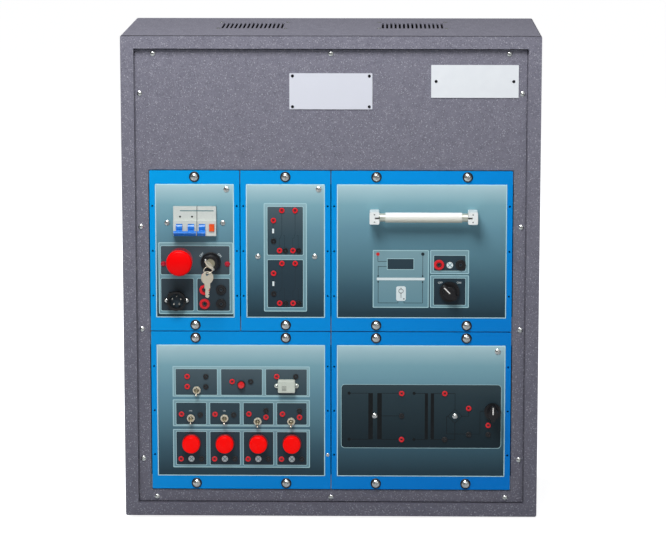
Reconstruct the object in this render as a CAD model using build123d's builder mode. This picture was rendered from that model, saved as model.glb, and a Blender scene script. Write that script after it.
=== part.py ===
from build123d import *
from math import cos, pi, radians, sin, sqrt
import os

os.makedirs("parts", exist_ok=True)

# Electrical lighting trainer: a sheet steel cabinet whose front carries five plug-in modules.
# The origin is on the bench under the middle of the trainer, the front looks along -Y, +Z is up.
# A level is a distance ahead of the front edge of the case, so what is sunk has a negative one.

# Case
case_width = 640.0
case_height = 750.0
case_depth = 300.0
case_corner = 3.0
sheet = 2.0
front_border = 20.0
rear_border = 18.0
foot_height = 4.0
foot_radius = 14.0
foot_inset = 45.0
cover_sheet = 1.5
cover_inset = 3.0

# Sunk grey panel
panel_recess = 8.0
panel_thick = 2.0
panel_gap = 2.0
ledge_width = 14.0
ledge_wall = 1.5

# Module space in the panel, with a strip of grey panel left at each side of it
side_strip = 20.25
row_pitch = 251.0
module_gap = 1.5
window_base = 40.25
frame_proud = 2.0
frame_thick = 6.0
frame_corner = 1.2
side_border = 8.5
end_border = 20.75
screw_reach = 115.5
side_hole_radius = 1.6
side_hole_inset = 4.25
side_hole_pitch = 70.0
plate_thick = 2.0
plate_proud = 0.4
plate_corner = 1.0
plate_bevel = 0.35
plate_seat = 4.0
seat_clearance = 0.2

# Rails behind the modules
rail_thick = 3.0
rail_width = 24.0
rail_rib = 14.0
rail_end_gap = 2.0

# Fasteners
fit = 0.05
hole_clearance = 0.3
m4_radius = 2.0
m4_head_radius = 3.9
m4_head_height = 2.2
m4_length = 9.0
m4_socket = 1.45
m6_radius = 3.0
m6_head_radius = 5.8
m6_head_height = 3.6
m6_length = 13.0
washer_radius = 8.0
washer_height = 2.2
cross_width = 1.1
cross_depth = 1.2

# Vents and fans
slot_count = 15
slot_pitch = 6.6
slot_width = 3.3
slot_length = 94.0
fan_spacing = 250.0
fan_from_front = 167.0
fan_size = 120.0
fan_height = 25.0
fan_bore_radius = 57.0
fan_screw_pitch = 105.0
fan_hub_radius = 19.5
fan_hub_height = 17.0
fan_blades = 7
fan_blade_reach = 55.0
fan_blade_thick = 1.6
fan_blade_tilt = 38.0
fan_strut = 4.0
fan_floor = 3.0
fan_shaft_radius = 1.5

# What the clearances are
slide_gap = 0.3
turn_gap = 0.5
running_fit = 0.05

case_base = foot_height
case_top = case_base + case_height
case_middle = case_base + case_height / 2
panel_level = -panel_recess
frame_level = panel_level + frame_proud
plate_level = frame_level + plate_proud
plate_back = plate_level - plate_thick
rail_level = frame_level - frame_thick
opening_width = case_width - 2 * front_border
opening_height = case_height - 2 * front_border
module_pitch = (opening_width - 2 * side_strip - module_gap) / 4
frame_height = row_pitch - module_gap
single_frame = module_pitch - module_gap
double_frame = 2 * module_pitch - module_gap
plate_height = frame_height - 2 * end_border
single_plate = single_frame - 2 * side_border
double_plate = double_frame - 2 * side_border
window_width = 4 * module_pitch + module_gap
window_height = 2 * row_pitch + module_gap

lower_row = case_base + window_base + (module_gap + row_pitch) / 2
upper_row = lower_row + row_pitch
supply_at = (-1.5 * module_pitch, upper_row)
relay_at = (-0.5 * module_pitch, upper_row)
fluorescent_at = (module_pitch, upper_row)
lighting_at = (-module_pitch, lower_row)
power_at = (module_pitch, lower_row)

# Keys and their ring, which leans out over the rim of the bow; the spare key reaches furthest forward
lock_face = 16.0
key_thick = 1.8
key_bow_radius = 10.0
key_bow_centre = 17.0
key_hole_radius = 3.0
key_hole_offset = 5.8
key_shoulder_width = 9.0
key_shoulder_end = 16.4
key_blade_width = 6.0
key_blade_end = 31.0
key_cut_pitch = 3.2
key_cuts = (1.3, 0.7, 1.5)
key_cut_width = 1.8
ring_radius = 7.0
ring_wire = 0.5
ring_lean = 50.0
ring_turn = 15.0
spare_turn = 30.0
spare_drop = 1.0
hole_ahead = lock_face + key_bow_centre + key_hole_offset
spare_ahead = hole_ahead + 2 * ring_radius * sin(radians(ring_lean)) * cos(radians(ring_turn))
spare_edge = key_bow_radius * sin(radians(spare_turn)) + key_thick / 2 * cos(radians(spare_turn))
forward_reach = plate_level + spare_ahead + spare_edge
rearward_reach = m4_head_height
front_y = (forward_reach - case_depth - rearward_reach) / 2


def facing(level, x=0.0, z=0.0):
    """Plane that looks out of the front, its local x along +X and its local y along +Z."""
    return Plane(origin=(x, front_y - level, z), x_dir=(1, 0, 0), z_dir=(0, -1, 0))


def rearward(level, x=0.0, z=0.0):
    """Plane that looks out of the back, a level behind the front edge of the case."""
    return Plane(origin=(x, front_y + level, z), x_dir=(-1, 0, 0), z_dir=(0, 1, 0))


def upward(z, x=0.0, y=0.0):
    """Plane that looks up at a height."""
    return Plane(origin=(x, y, z), x_dir=(1, 0, 0), z_dir=(0, 0, 1))


def sideways(x, level=0.0, z=0.0):
    """Plane that looks along +X, its local x into the case and its local y along +Z."""
    return Plane(origin=(x, front_y - level, z), x_dir=(0, 1, 0), z_dir=(1, 0, 0))


def on(module, x, z):
    """Spot on the front, counted from the centre of a module."""
    return (module[0] + x, module[1] + z)


def turned(place, profile):
    """Solid turned about the normal of a plane from (radius, height) points."""
    upright = Plane(origin=place.origin, x_dir=place.x_dir, z_dir=-place.y_dir)
    with BuildPart() as made:
        with BuildSketch(upright):
            with BuildLine():
                Polyline(*profile, close=True)
            make_face()
        revolve(axis=Axis(place.origin, place.z_dir))
    return made.part


def dome_height(radius, rise, at):
    """Height of a shallow dome of a given rise over its rim, at a distance from its axis."""
    ball = (radius ** 2 + rise ** 2) / (2 * rise)
    return sqrt(ball ** 2 - at ** 2) - (ball - rise)


def screw(place, radius, length, head_radius, head_height, recess="cross"):
    """Screw with a domed head that seats on a plane, its recess a cross or a hexagon."""
    upright = Plane(origin=place.origin, x_dir=place.x_dir, z_dir=-place.y_dir)
    rim = 0.35 * head_height
    half_way = dome_height(head_radius, head_height - rim, head_radius / 2)
    with BuildPart() as made:
        with BuildSketch(upright):
            with BuildLine():
                Polyline((0, head_height), (0, -length), (radius, -length), (radius, 0), (head_radius, 0),
                         (head_radius, rim))
                ThreePointArc((head_radius, rim), (head_radius / 2, rim + half_way), (0, head_height))
            make_face()
        revolve(axis=Axis(place.origin, place.z_dir))
        with BuildSketch(place.offset(head_height)):
            if recess == "cross":
                arm = 1.2 * head_radius
                Rectangle(arm, min(cross_width, 0.3 * head_radius))
                Rectangle(min(cross_width, 0.3 * head_radius), arm)
            else:
                RegularPolygon(m4_socket, 6)
        extrude(amount=-min(cross_depth, 0.6 * head_height), mode=Mode.SUBTRACT)
    return made.part


def write(part, name):
    """Label a finished part and export it under its own name."""
    part.label = name
    export_step(part, f"parts/{name}.step")


def group(pieces, name):
    """Write several separate solids as one named part."""
    with BuildPart() as made:
        add(pieces)
    write(made.part, name)


# Screw places of the case, the fans and the modules
panel_screw_inset = 6.0
panel_end_inset = 28.8
panel_side_inset = 69.0
panel_mid_screws = 80.3
panel_screw_x = opening_width / 2 - panel_gap - panel_screw_inset
panel_screw_z = opening_height / 2 - panel_gap - panel_screw_inset
panel_end_screws = opening_width / 2 - panel_end_inset
panel_side_screws = (panel_mid_screws, opening_height / 2 - panel_side_inset)
panel_screw_spots = [(x, case_middle + z) for z in (-panel_screw_z, panel_screw_z)
                     for x in (-panel_end_screws, 0, panel_end_screws)]
panel_screw_spots += [(x, case_middle + side * z) for x in (-panel_screw_x, panel_screw_x)
                      for side in (-1, 1) for z in panel_side_screws]

cover_screw_x = case_width / 2 - rear_border / 2
cover_screw_z = case_height / 2 - rear_border / 2
cover_screw_spots = [(x, case_middle + z) for z in (-cover_screw_z, cover_screw_z)
                     for x in (-0.8 * cover_screw_x, 0.8 * cover_screw_x)]
cover_screw_spots += [(x, case_middle + z) for x in (-cover_screw_x, cover_screw_x)
                      for z in (-0.6 * cover_screw_z, 0.6 * cover_screw_z)]

fan_y = front_y + fan_from_front
fan_spots = [(-fan_spacing / 2, fan_y), (fan_spacing / 2, fan_y)]
fan_screw_spots = [(x + dx, y + dy) for x, y in fan_spots
                   for dx in (-fan_screw_pitch / 2, fan_screw_pitch / 2)
                   for dy in (-fan_screw_pitch / 2, fan_screw_pitch / 2)]
fan_screw_radius = 2.0

half_pitch = module_pitch / 2
module_screw_spots = [on(m, x, z) for m, columns in (
    (supply_at, (0,)), (relay_at, (0,)), (fluorescent_at, (-half_pitch, half_pitch)),
    (lighting_at, (-half_pitch, half_pitch)), (power_at, (-half_pitch, half_pitch)))
    for x in columns for z in (-screw_reach, screw_reach)]

# Case shell: top, sides and floor in one wrap, flanged at the front and the back, with the
# ledge for the grey panel welded in behind the front flange.
ledge_level = panel_level - panel_thick
shell_depth = case_depth - cover_sheet
with BuildPart() as case_shell:
    with BuildSketch(facing(0, 0, case_middle)):
        RectangleRounded(case_width, case_height, case_corner)
    extrude(amount=-shell_depth)
    with BuildSketch(facing(-sheet, 0, case_middle)):
        RectangleRounded(case_width - 2 * sheet, case_height - 2 * sheet, case_corner - sheet)
    extrude(amount=-(shell_depth - 2 * sheet), mode=Mode.SUBTRACT)
    with BuildSketch(facing(0, 0, case_middle)):
        Rectangle(opening_width, opening_height)
    extrude(amount=-sheet, mode=Mode.SUBTRACT)
    with BuildSketch(facing(-shell_depth, 0, case_middle)):
        Rectangle(case_width - 2 * rear_border, case_height - 2 * rear_border)
    extrude(amount=sheet, mode=Mode.SUBTRACT)
    with BuildSketch(facing(-sheet, 0, case_middle)):
        Rectangle(opening_width + 2 * ledge_wall, opening_height + 2 * ledge_wall)
        Rectangle(opening_width, opening_height, mode=Mode.SUBTRACT)
    extrude(amount=ledge_level)
    with BuildSketch(facing(ledge_level, 0, case_middle)):
        Rectangle(opening_width + 2 * ledge_wall, opening_height + 2 * ledge_wall)
        Rectangle(opening_width - 2 * ledge_width, opening_height - 2 * ledge_width, mode=Mode.SUBTRACT)
    extrude(amount=-sheet)
    with BuildSketch(facing(ledge_level)):
        with Locations(*panel_screw_spots):
            Circle(m4_radius + fit)
    extrude(amount=-sheet, mode=Mode.SUBTRACT)
    with BuildSketch(facing(-shell_depth)):
        with Locations(*cover_screw_spots):
            Circle(m4_radius + fit)
    extrude(amount=sheet, mode=Mode.SUBTRACT)
    with BuildSketch(upward(case_top)):
        for fan_x, fan_middle in fan_spots:
            with Locations((fan_x, fan_middle)):
                with GridLocations(slot_pitch, 0, slot_count, 1):
                    SlotOverall(slot_length, slot_width, rotation=90)
        with Locations(*fan_screw_spots):
            Circle(fan_screw_radius + hole_clearance)
    extrude(amount=-sheet, mode=Mode.SUBTRACT)
write(case_shell.part, "case_shell")

# Rear cover with its two low groups of intake slots, clear of the gaps between the modules
intake_height = 60.0
intake_base = 70.0
intake_count = 12
intake_pitch = 9.0
intake_spread = 300.0
intake_width = 4.0
with BuildPart() as rear_cover:
    with BuildSketch(rearward(shell_depth, 0, case_middle)):
        RectangleRounded(case_width - 2 * cover_inset, case_height - 2 * cover_inset, case_corner)
    extrude(amount=cover_sheet)
    with BuildSketch(rearward(shell_depth, 0, case_base + intake_base + intake_height / 2)):
        with GridLocations(intake_spread, 0, 2, 1):
            with GridLocations(intake_pitch, 0, intake_count, 1):
                SlotOverall(intake_height, intake_width, rotation=90)
    extrude(amount=cover_sheet, mode=Mode.SUBTRACT)
    with BuildSketch(rearward(shell_depth)):
        with Locations(*cover_screw_spots):
            Circle(m4_radius + hole_clearance)
    extrude(amount=cover_sheet, mode=Mode.SUBTRACT)
write(rear_cover.part, "rear_cover")

# Rubber feet
foot_x = case_width / 2 - foot_inset
foot_front = front_y + foot_inset
foot_back = front_y + case_depth - foot_inset
with BuildPart() as feet:
    with BuildSketch(upward(0)):
        with Locations(*[(x, y) for x in (-foot_x, foot_x) for y in (foot_front, foot_back)]):
            Circle(foot_radius)
    extrude(amount=foot_height)
    chamfer(feet.faces().group_by(Axis.Z)[0].edges(), foot_height / 4)
write(feet.part, "feet")

# Sunk grey panel, with the window that the modules fill
window_middle = (lower_row + upper_row) / 2
header_hole_radius = 1.2
title_size = (126.5, 55.0)
title_drop = 85.5
title_at = (0.0, case_top - title_drop)
title_screws = [(title_at[0] + x, title_at[1] + z) for x in (-58.5, 58.5) for z in (-23.5, 23.5)]
badge_size = (133.0, 50.0)
badge_inset = 81.0
badge_drop = 70.0
badge_at = (opening_width / 2 - badge_inset, case_top - badge_drop)
badge_screws = [(badge_at[0] + x, badge_at[1]) for x in (-59.0, 59.0)]
with BuildPart() as front_panel:
    with BuildSketch(facing(panel_level, 0, case_middle)):
        Rectangle(opening_width - 2 * panel_gap, opening_height - 2 * panel_gap)
    extrude(amount=-panel_thick)
    with BuildSketch(facing(panel_level, 0, window_middle)):
        Rectangle(window_width, window_height)
    extrude(amount=-panel_thick, mode=Mode.SUBTRACT)
    with BuildSketch(facing(panel_level)):
        with Locations(*panel_screw_spots):
            Circle(m4_radius + hole_clearance)
        with Locations(*title_screws, *badge_screws):
            Circle(header_hole_radius + fit)
    extrude(amount=-panel_thick, mode=Mode.SUBTRACT)
write(front_panel.part, "front_panel")

# Bare engraving plates at the head of the panel
header_thick = 1.5
with BuildPart() as header_plates:
    for size, spot in ((title_size, title_at), (badge_size, badge_at)):
        with BuildSketch(facing(panel_level, *spot)):
            RectangleRounded(*size, 1.0)
        extrude(amount=header_thick)
    with BuildSketch(facing(panel_level)):
        with Locations(*title_screws, *badge_screws):
            Circle(header_hole_radius + hole_clearance)
    extrude(amount=header_thick, mode=Mode.SUBTRACT)
write(header_plates.part, "header_plates")

# Rails across the back of the ledge, which take the module screws
rail_length = opening_width - 2 * rail_end_gap
rails = (
    (lower_row - screw_reach, rail_width),
    ((lower_row + upper_row) / 2, row_pitch - 2 * screw_reach + rail_width),
    (upper_row + screw_reach, rail_width),
)
with BuildPart() as module_rails:
    for rail_z, width in rails:
        with BuildSketch(facing(rail_level, 0, rail_z)):
            Rectangle(rail_length, width)
        extrude(amount=-rail_thick)
        with BuildSketch(facing(rail_level, 0, rail_z - (width - rail_thick) / 2)):
            Rectangle(rail_length, rail_thick)
        extrude(amount=-rail_rib)
    with BuildSketch(facing(rail_level)):
        with Locations(*module_screw_spots):
            Circle(m6_radius + fit)
        with Locations(*panel_screw_spots):
            Circle(m4_radius + hole_clearance)
    extrude(amount=-rail_thick, mode=Mode.SUBTRACT)
write(module_rails.part, "module_rails")


# Blue moulded module frames
def module_frame(centre, width, screw_columns):
    """Frame with a stepped seat for its faceplate, its screw holes and its small side holes."""
    plate_width = width - 2 * side_border
    side_x = width / 2 - side_hole_inset
    with BuildPart() as made:
        with BuildSketch(facing(frame_level, *centre)):
            RectangleRounded(width, frame_height, frame_corner)
        extrude(amount=-frame_thick)
        with BuildSketch(facing(frame_level, *centre)):
            Rectangle(plate_width + 2 * seat_clearance, plate_height + 2 * seat_clearance)
        extrude(amount=plate_back - frame_level, mode=Mode.SUBTRACT)
        with BuildSketch(facing(frame_level, *centre)):
            Rectangle(plate_width - 2 * plate_seat, plate_height - 2 * plate_seat)
            with Locations(*[(x, z) for x in screw_columns for z in (-screw_reach, screw_reach)]):
                Circle(m6_radius + hole_clearance)
            with Locations(*[(x, row * side_hole_pitch) for x in (-side_x, side_x) for row in (-1, 0, 1)]):
                Circle(side_hole_radius)
        extrude(amount=-frame_thick, mode=Mode.SUBTRACT)
    return made.part


group([module_frame(centre, single_frame, (0,)) for centre in (supply_at, relay_at)], "single_module_frames")
group([module_frame(centre, double_frame, (-half_pitch, half_pitch))
       for centre in (fluorescent_at, lighting_at, power_at)], "double_module_frames")

# Module screws on their black cup washers
washer_profile = [(m6_radius + hole_clearance, 0), (washer_radius, 0), (washer_radius, 0.35 * washer_height),
                  (m6_head_radius + 0.6, washer_height), (m6_radius + hole_clearance, washer_height)]
group([turned(facing(frame_level, *spot), washer_profile) for spot in module_screw_spots], "module_washers")
group([screw(facing(frame_level + washer_height, *spot), m6_radius, m6_length, m6_head_radius, m6_head_height)
       for spot in module_screw_spots], "module_screws")

# Button head screws of the panel and the rear cover
m4_screw = (m4_radius, m4_length, m4_head_radius, m4_head_height, "hex")
case_screws = [screw(facing(panel_level, *spot), *m4_screw) for spot in panel_screw_spots]
case_screws += [screw(rearward(case_depth, *spot), *m4_screw) for spot in cover_screw_spots]
group(case_screws, "case_screws")

# Axial fans under the top: a square frame with struts and a shaft, and a bladed rotor on it
fan_top = case_top - sheet
fan_base = fan_top - fan_height
strut_count = 4
rotor_base = fan_base + fan_floor + turn_gap
with BuildPart() as fan_frames:
    for spot in fan_spots:
        with BuildSketch(upward(fan_base, *spot)):
            RectangleRounded(fan_size, fan_size, 6.0)
            Circle(fan_bore_radius, mode=Mode.SUBTRACT)
        extrude(amount=fan_height)
        with BuildSketch(upward(fan_base, *spot)):
            Circle(fan_hub_radius)
            with PolarLocations(fan_hub_radius + (fan_bore_radius - fan_hub_radius) / 2, strut_count, 45.0):
                Rectangle(fan_bore_radius - fan_hub_radius + 2 * fan_strut, fan_strut)
        extrude(amount=fan_floor)
        with BuildSketch(upward(fan_base + fan_floor, *spot)):
            Circle(fan_shaft_radius)
        extrude(amount=fan_hub_height)
    with BuildSketch(upward(fan_base)):
        with Locations(*fan_screw_spots):
            Circle(fan_screw_radius + fit)
    extrude(amount=fan_height, mode=Mode.SUBTRACT)
write(fan_frames.part, "fan_frames")


def fan_rotor(spot):
    """Rotor hub with its blades, each a thin tilted plate rooted in the hub."""
    root = fan_hub_radius - 1.5
    span = fan_blade_reach - root
    blade_width = 0.72 * fan_hub_height / sin(radians(90 - fan_blade_tilt))
    with BuildPart() as made:
        with BuildSketch(upward(rotor_base, *spot)):
            Circle(fan_hub_radius)
            Circle(fan_shaft_radius + running_fit, mode=Mode.SUBTRACT)
        extrude(amount=fan_hub_height)
        for turn in range(fan_blades):
            around = turn * 2 * pi / fan_blades
            across = Vector(-sin(around), cos(around), 0)
            out = Vector(cos(around), sin(around), 0)
            lean = radians(fan_blade_tilt)
            root_at = Vector(*spot, rotor_base + fan_hub_height / 2) + out * root
            along_chord = across * cos(lean) - Vector(0, 0, sin(lean))
            with BuildSketch(Plane(origin=root_at, x_dir=along_chord, z_dir=out)):
                Rectangle(fan_blade_thick, blade_width)
            extrude(amount=span)
    return made.part


for side, spot in zip(("left", "right"), fan_spots):
    write(fan_rotor(spot), f"fan_rotor_{side}")


# Faceplate holes are gathered as the parts that sit in them are made
round_holes = {"supply": [], "relay": [], "fluorescent": [], "lighting": [], "power": []}
square_holes = {name: [] for name in round_holes}
modules = {"supply": supply_at, "relay": relay_at, "fluorescent": fluorescent_at,
           "lighting": lighting_at, "power": power_at}


def bore_plate(module, spots, radius):
    """Bore a faceplate for parts of one shank radius."""
    round_holes[module] += [(on(modules[module], *spot), radius) for spot in spots]


# Sockets for 4 mm and 2 mm test leads, clipped into the faceplates
large_jack = {"flange": 8.0, "rise": 2.5, "shank": 6.0, "barb": 7.0, "length": 22.0, "mouth": 4.2,
              "mouth_depth": 2.0, "bore": 2.05}
small_jack = {"flange": 4.2, "rise": 1.8, "shank": 3.0, "barb": 3.7, "length": 12.0, "mouth": 2.5,
              "mouth_depth": 0.9, "bore": 1.05}
barb_length = 3.0
jack_floor = 2.0
jack_neck = 0.5
jack_bevel = 0.3


def jack(spot, size):
    """Socket with a flange, a stepped blind bore and a barb behind the faceplate."""
    rim = jack_bevel * size["rise"]
    neck = size["shank"] - jack_neck
    barb_end = -plate_thick - barb_length
    step = size["rise"] - size["mouth_depth"]
    floor = jack_floor - size["length"]
    profile = [(0, -size["length"]), (neck, -size["length"]), (neck, barb_end), (size["shank"], barb_end),
               (size["barb"], -plate_thick), (size["shank"], -plate_thick), (size["shank"], 0),
               (size["flange"], 0), (size["flange"], size["rise"] - rim),
               (size["flange"] - rim, size["rise"]),
               (size["mouth"], size["rise"]), (size["mouth"], step), (size["bore"], step),
               (size["bore"], floor), (0, floor)]
    return turned(facing(plate_level, *spot), profile)


def jacks(name, size, spots):
    """Write one colour of one size of socket, from its spots in each module."""
    for module, places in spots.items():
        bore_plate(module, places, size["shank"] + fit)
    made = [jack(on(modules[module], *spot), size) for module, places in spots.items() for spot in places]
    group(made, name)


supply_jack_x = (14.5, 40.0)
supply_jack_z = (-60.5, -82.5)
lamp_jack_x = (26.6, 59.8)
lamp_jack_z = -20.4
jacks("large_jacks_red", large_jack, {"supply": [(supply_jack_x[0], z) for z in supply_jack_z],
                                      "fluorescent": [(lamp_jack_x[0], lamp_jack_z)]})
jacks("large_jacks_black", large_jack, {"supply": [(supply_jack_x[1], z) for z in supply_jack_z],
                                        "fluorescent": [(lamp_jack_x[1], lamp_jack_z)]})

relay_group_drop = 82.3
relay_red = [(-5.6, 63.5), (14.8, 63.5), (-18.4, 48.0), (-9.2, 1.3), (11.4, 1.3)]
relay_black = [(-18.4, 16.0), (-0.2, 1.3), (20.1, 1.3)]
bay_pitch = 52.1
bay_shift = 0.6
bays = [bay_shift + bay_pitch * (place - 1.5) for place in range(4)]
top_row_red = [(-83.3, 54.0), (-83.3, 38.0), (-13.5, 46.2), (55.5, 54.4)]
top_row_black = [(-54.4, 54.0), (-54.4, 38.0), (15.2, 46.2), (85.0, 54.4)]
switch_bay_red = (-15.0, -5.8)
switch_bay_black = (14.0, -6.7)
changeover_red = [(-14.5, -5.2), (12.0, -10.2)]
changeover_black = (12.0, 0.0)
pilot_jack_x = (-16.2, 15.6)
pilot_jack_z = -77.0
power_red = [(-29.9, 28.2), (-29.9, -44.9), (36.9, 28.4), (74.0, 4.9), (104.4, -21.9)]
power_black = [(-29.9, -7.4), (37.0, -44.7), (74.2, -36.6), (104.5, -36.4)]
jacks("small_jacks_red", small_jack, {
    "relay": [(x, z - drop) for drop in (0, relay_group_drop) for x, z in relay_red],
    "lighting": (top_row_red + [(c + switch_bay_red[0], switch_bay_red[1]) for c in bays[:2]]
                 + [(c + x, z) for c in bays[2:] for x, z in changeover_red]
                 + [(c + pilot_jack_x[0], pilot_jack_z) for c in bays]),
    "power": power_red})
jacks("small_jacks_black", small_jack, {
    "relay": [(x, z - drop) for drop in (0, relay_group_drop) for x, z in relay_black],
    "lighting": (top_row_black + [(c + switch_bay_black[0], switch_bay_black[1]) for c in bays[:2]]
                 + [(c + changeover_black[0], changeover_black[1]) for c in bays[2:]]
                 + [(c + pilot_jack_x[1], pilot_jack_z) for c in bays]),
    "power": power_black})

# Circuit breaker with its residual current block: two bodies side by side behind one cut-out,
# their shoulders against the back of the faceplate and a screwed ear at each end
breaker_centre = (0.5, 47.5)
breaker_width = 36.4
leakage_width = 29.3
breaker_front = 45.0
breaker_back = 80.0
breaker_rise = 6.0
breaker_nose = 3.0
breaker_nose_height = 24.0
breaker_depth = 60.0
breaker_gap = 0.4
ear_reach = 15.5
ear_height = 12.0
ear_thick = 6.0
ear_screw = (42.7, -3.5)
ear_screw_radius = 2.0
lever_drop = 10.5
lever_depth = 5.0
lever_hub = 7.8
lever_arm_width = 9.6
lever_arm_thick = 4.0
lever_length = 13.0
lever_rest = 35.0
lever_pin = 2.0
lever_pin_length = 1.5
bar_size = (5.0, 7.0)
bar_inset = 0.8
bar_corner = 1.0
arm_pair = 18.2
test_button_size = (7.7, 10.6)
test_button_at = (8.1, 1.0)
test_button_rise = 2.0
test_button_length = 7.7
test_button_travel = 2.0
test_button_corner = 0.8

breaker_left = breaker_centre[0] - (breaker_width + leakage_width) / 2
breaker_split = breaker_left + breaker_width
leakage_right = breaker_split + leakage_width
nose_level = plate_level + breaker_rise + breaker_nose
pivot_level = nose_level - lever_depth
pivot_z = on(supply_at, 0, breaker_centre[1] - lever_drop)[1]
breaker_arms = [supply_at[0] + breaker_left + breaker_width / 2 + side * arm_pair / 2 for side in (-1, 1)]
leakage_arms = [supply_at[0] + breaker_split + 0.27 * leakage_width]
breaker_cutout = (breaker_width + leakage_width + 2 * breaker_gap, breaker_front + 2 * breaker_gap)
square_holes["supply"].append((on(supply_at, *breaker_centre), breaker_cutout))


def breaker_case(left, right, ear_side, arms, button=None):
    """Body with a raised nose, pockets for its lever hubs and an ear behind the faceplate."""
    middle, front = on(supply_at, (left + right) / 2, breaker_centre[1])
    width = right - left
    ear_x, ear_z = on(supply_at, breaker_centre[0] + ear_side * ear_screw[0],
                      breaker_centre[1] + ear_screw[1])
    with BuildPart() as made:
        with BuildSketch(facing(plate_back, middle, front)):
            Rectangle(width, breaker_back)
        extrude(amount=-breaker_depth)
        with BuildSketch(facing(plate_back, middle, front)):
            Rectangle(width, breaker_front)
        extrude(amount=plate_thick + breaker_rise)
        with BuildSketch(facing(plate_level + breaker_rise, middle, pivot_z)):
            Rectangle(width, breaker_nose_height)
        extrude(amount=breaker_nose)
        with BuildSketch(facing(plate_back, middle + ear_side * (width + ear_reach) / 2, ear_z)):
            Rectangle(ear_reach, ear_height)
        extrude(amount=-ear_thick)
        with BuildSketch(facing(plate_back, ear_x, ear_z)):
            Circle(ear_screw_radius + fit)
        extrude(amount=-ear_thick, mode=Mode.SUBTRACT)
        for arm in arms:
            with BuildSketch(sideways(arm - lever_arm_width / 2 - slide_gap, pivot_level, pivot_z)):
                Circle(lever_hub + turn_gap)
            extrude(amount=lever_arm_width + 2 * slide_gap, mode=Mode.SUBTRACT)
            bore_half = lever_arm_width / 2 + lever_pin_length + slide_gap
            with BuildSketch(sideways(arm - bore_half, pivot_level, pivot_z)):
                Circle(lever_pin + running_fit)
            extrude(amount=2 * bore_half, mode=Mode.SUBTRACT)
        if button:
            with BuildSketch(facing(nose_level, *button)):
                Rectangle(test_button_size[0] + 2 * slide_gap, test_button_size[1] + 2 * slide_gap)
            extrude(amount=test_button_rise - test_button_length - test_button_travel - slide_gap,
                    mode=Mode.SUBTRACT)
    return made.part


def breaker_lever(arms, span):
    """Lever arms on a shared bar, pointing down and out at rest, with a trunnion at each hub side."""
    lean = radians(lever_rest)
    with BuildPart() as made:
        for arm in arms:
            with BuildSketch(sideways(arm - lever_arm_width / 2, pivot_level, pivot_z)):
                Circle(lever_hub)
                with Locations(Location((-lever_length / 2 * cos(lean), -lever_length / 2 * sin(lean)),
                                        lever_rest)):
                    Rectangle(lever_length, lever_arm_thick)
            extrude(amount=lever_arm_width)
            with BuildSketch(sideways(arm - lever_arm_width / 2 - lever_pin_length, pivot_level, pivot_z)):
                Circle(lever_pin)
            extrude(amount=lever_arm_width + 2 * lever_pin_length)
        with BuildSketch(sideways(span[0], pivot_level, pivot_z)):
            with Locations(Location((-lever_length * cos(lean), -lever_length * sin(lean)), lever_rest)):
                RectangleRounded(*bar_size, bar_corner)
        extrude(amount=span[1] - span[0])
    return made.part


test_button_spot = on(supply_at, breaker_split + leakage_width / 2 + test_button_at[0],
                      breaker_centre[1] - lever_drop + test_button_at[1])
write(breaker_case(breaker_left, breaker_split, -1, breaker_arms), "breaker_body")
write(breaker_case(breaker_split, leakage_right, 1, leakage_arms, test_button_spot), "leakage_block")
write(breaker_lever(breaker_arms, (supply_at[0] + breaker_left + bar_inset,
                                   supply_at[0] + breaker_split - bar_inset)), "breaker_handle")
write(breaker_lever(leakage_arms, (supply_at[0] + breaker_split + bar_inset,
                                   leakage_arms[0] + lever_arm_width / 2 + bar_inset)), "leakage_handle")
with BuildPart() as test_button:
    with BuildSketch(facing(nose_level + test_button_rise, *test_button_spot)):
        RectangleRounded(*test_button_size, test_button_corner)
    extrude(amount=-test_button_length)
write(test_button.part, "test_button")

# Emergency stop: a collar through the faceplate, a stem that slides in it and a head that turns on the stem
estop_inset = 38.0
estop_at = (estop_inset - single_plate / 2, -14.0)
estop_collar = 14.5
estop_collar_rise = 9.0
estop_shank = 11.0
estop_shank_length = 26.0
estop_nut = 14.0
estop_nut_thick = 4.0
estop_collar_bevel = (1.5, 3.0)
housing_floor = 2.0
estop_stem_radius = 6.0
estop_stem_reach = 19.0
estop_stem_depth = 16.0
estop_spigot = 4.0
estop_spigot_length = 11.0
estop_head_radius = 20.0
estop_head_top = 36.0
estop_head_skirt = 24.0
estop_hub = 9.0
estop_rim = 5.0
estop_shoulder = 15.0
estop_dome = 2.4
estop_undercut = 3.0
estop_edge = 1.0
estop_place = facing(plate_level, *on(supply_at, *estop_at))
bore_plate("supply", [estop_at], estop_shank + fit)
write(turned(estop_place, [
    (estop_stem_radius + slide_gap, estop_collar_rise),
    (estop_collar - estop_collar_bevel[0], estop_collar_rise),
    (estop_collar, estop_collar_rise - estop_collar_bevel[1]), (estop_collar, 0), (estop_shank, 0),
    (estop_shank, -plate_thick),
    (estop_nut, -plate_thick), (estop_nut, -plate_thick - estop_nut_thick),
    (estop_shank, -plate_thick - estop_nut_thick), (estop_shank, -estop_shank_length),
    (0, -estop_shank_length), (0, housing_floor - estop_shank_length),
    (estop_stem_radius + slide_gap, housing_floor - estop_shank_length)]), "estop_base")
write(turned(estop_place, [
    (0, -estop_stem_depth), (estop_stem_radius, -estop_stem_depth), (estop_stem_radius, estop_stem_reach),
    (estop_spigot, estop_stem_reach), (estop_spigot, estop_stem_reach + estop_spigot_length),
    (0, estop_stem_reach + estop_spigot_length)]), "estop_stem")
shoulder_top = estop_head_top - estop_dome
shoulder_rise = shoulder_top - estop_head_skirt
half_dome = shoulder_top + dome_height(estop_shoulder, estop_dome, estop_shoulder / 2)
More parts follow.
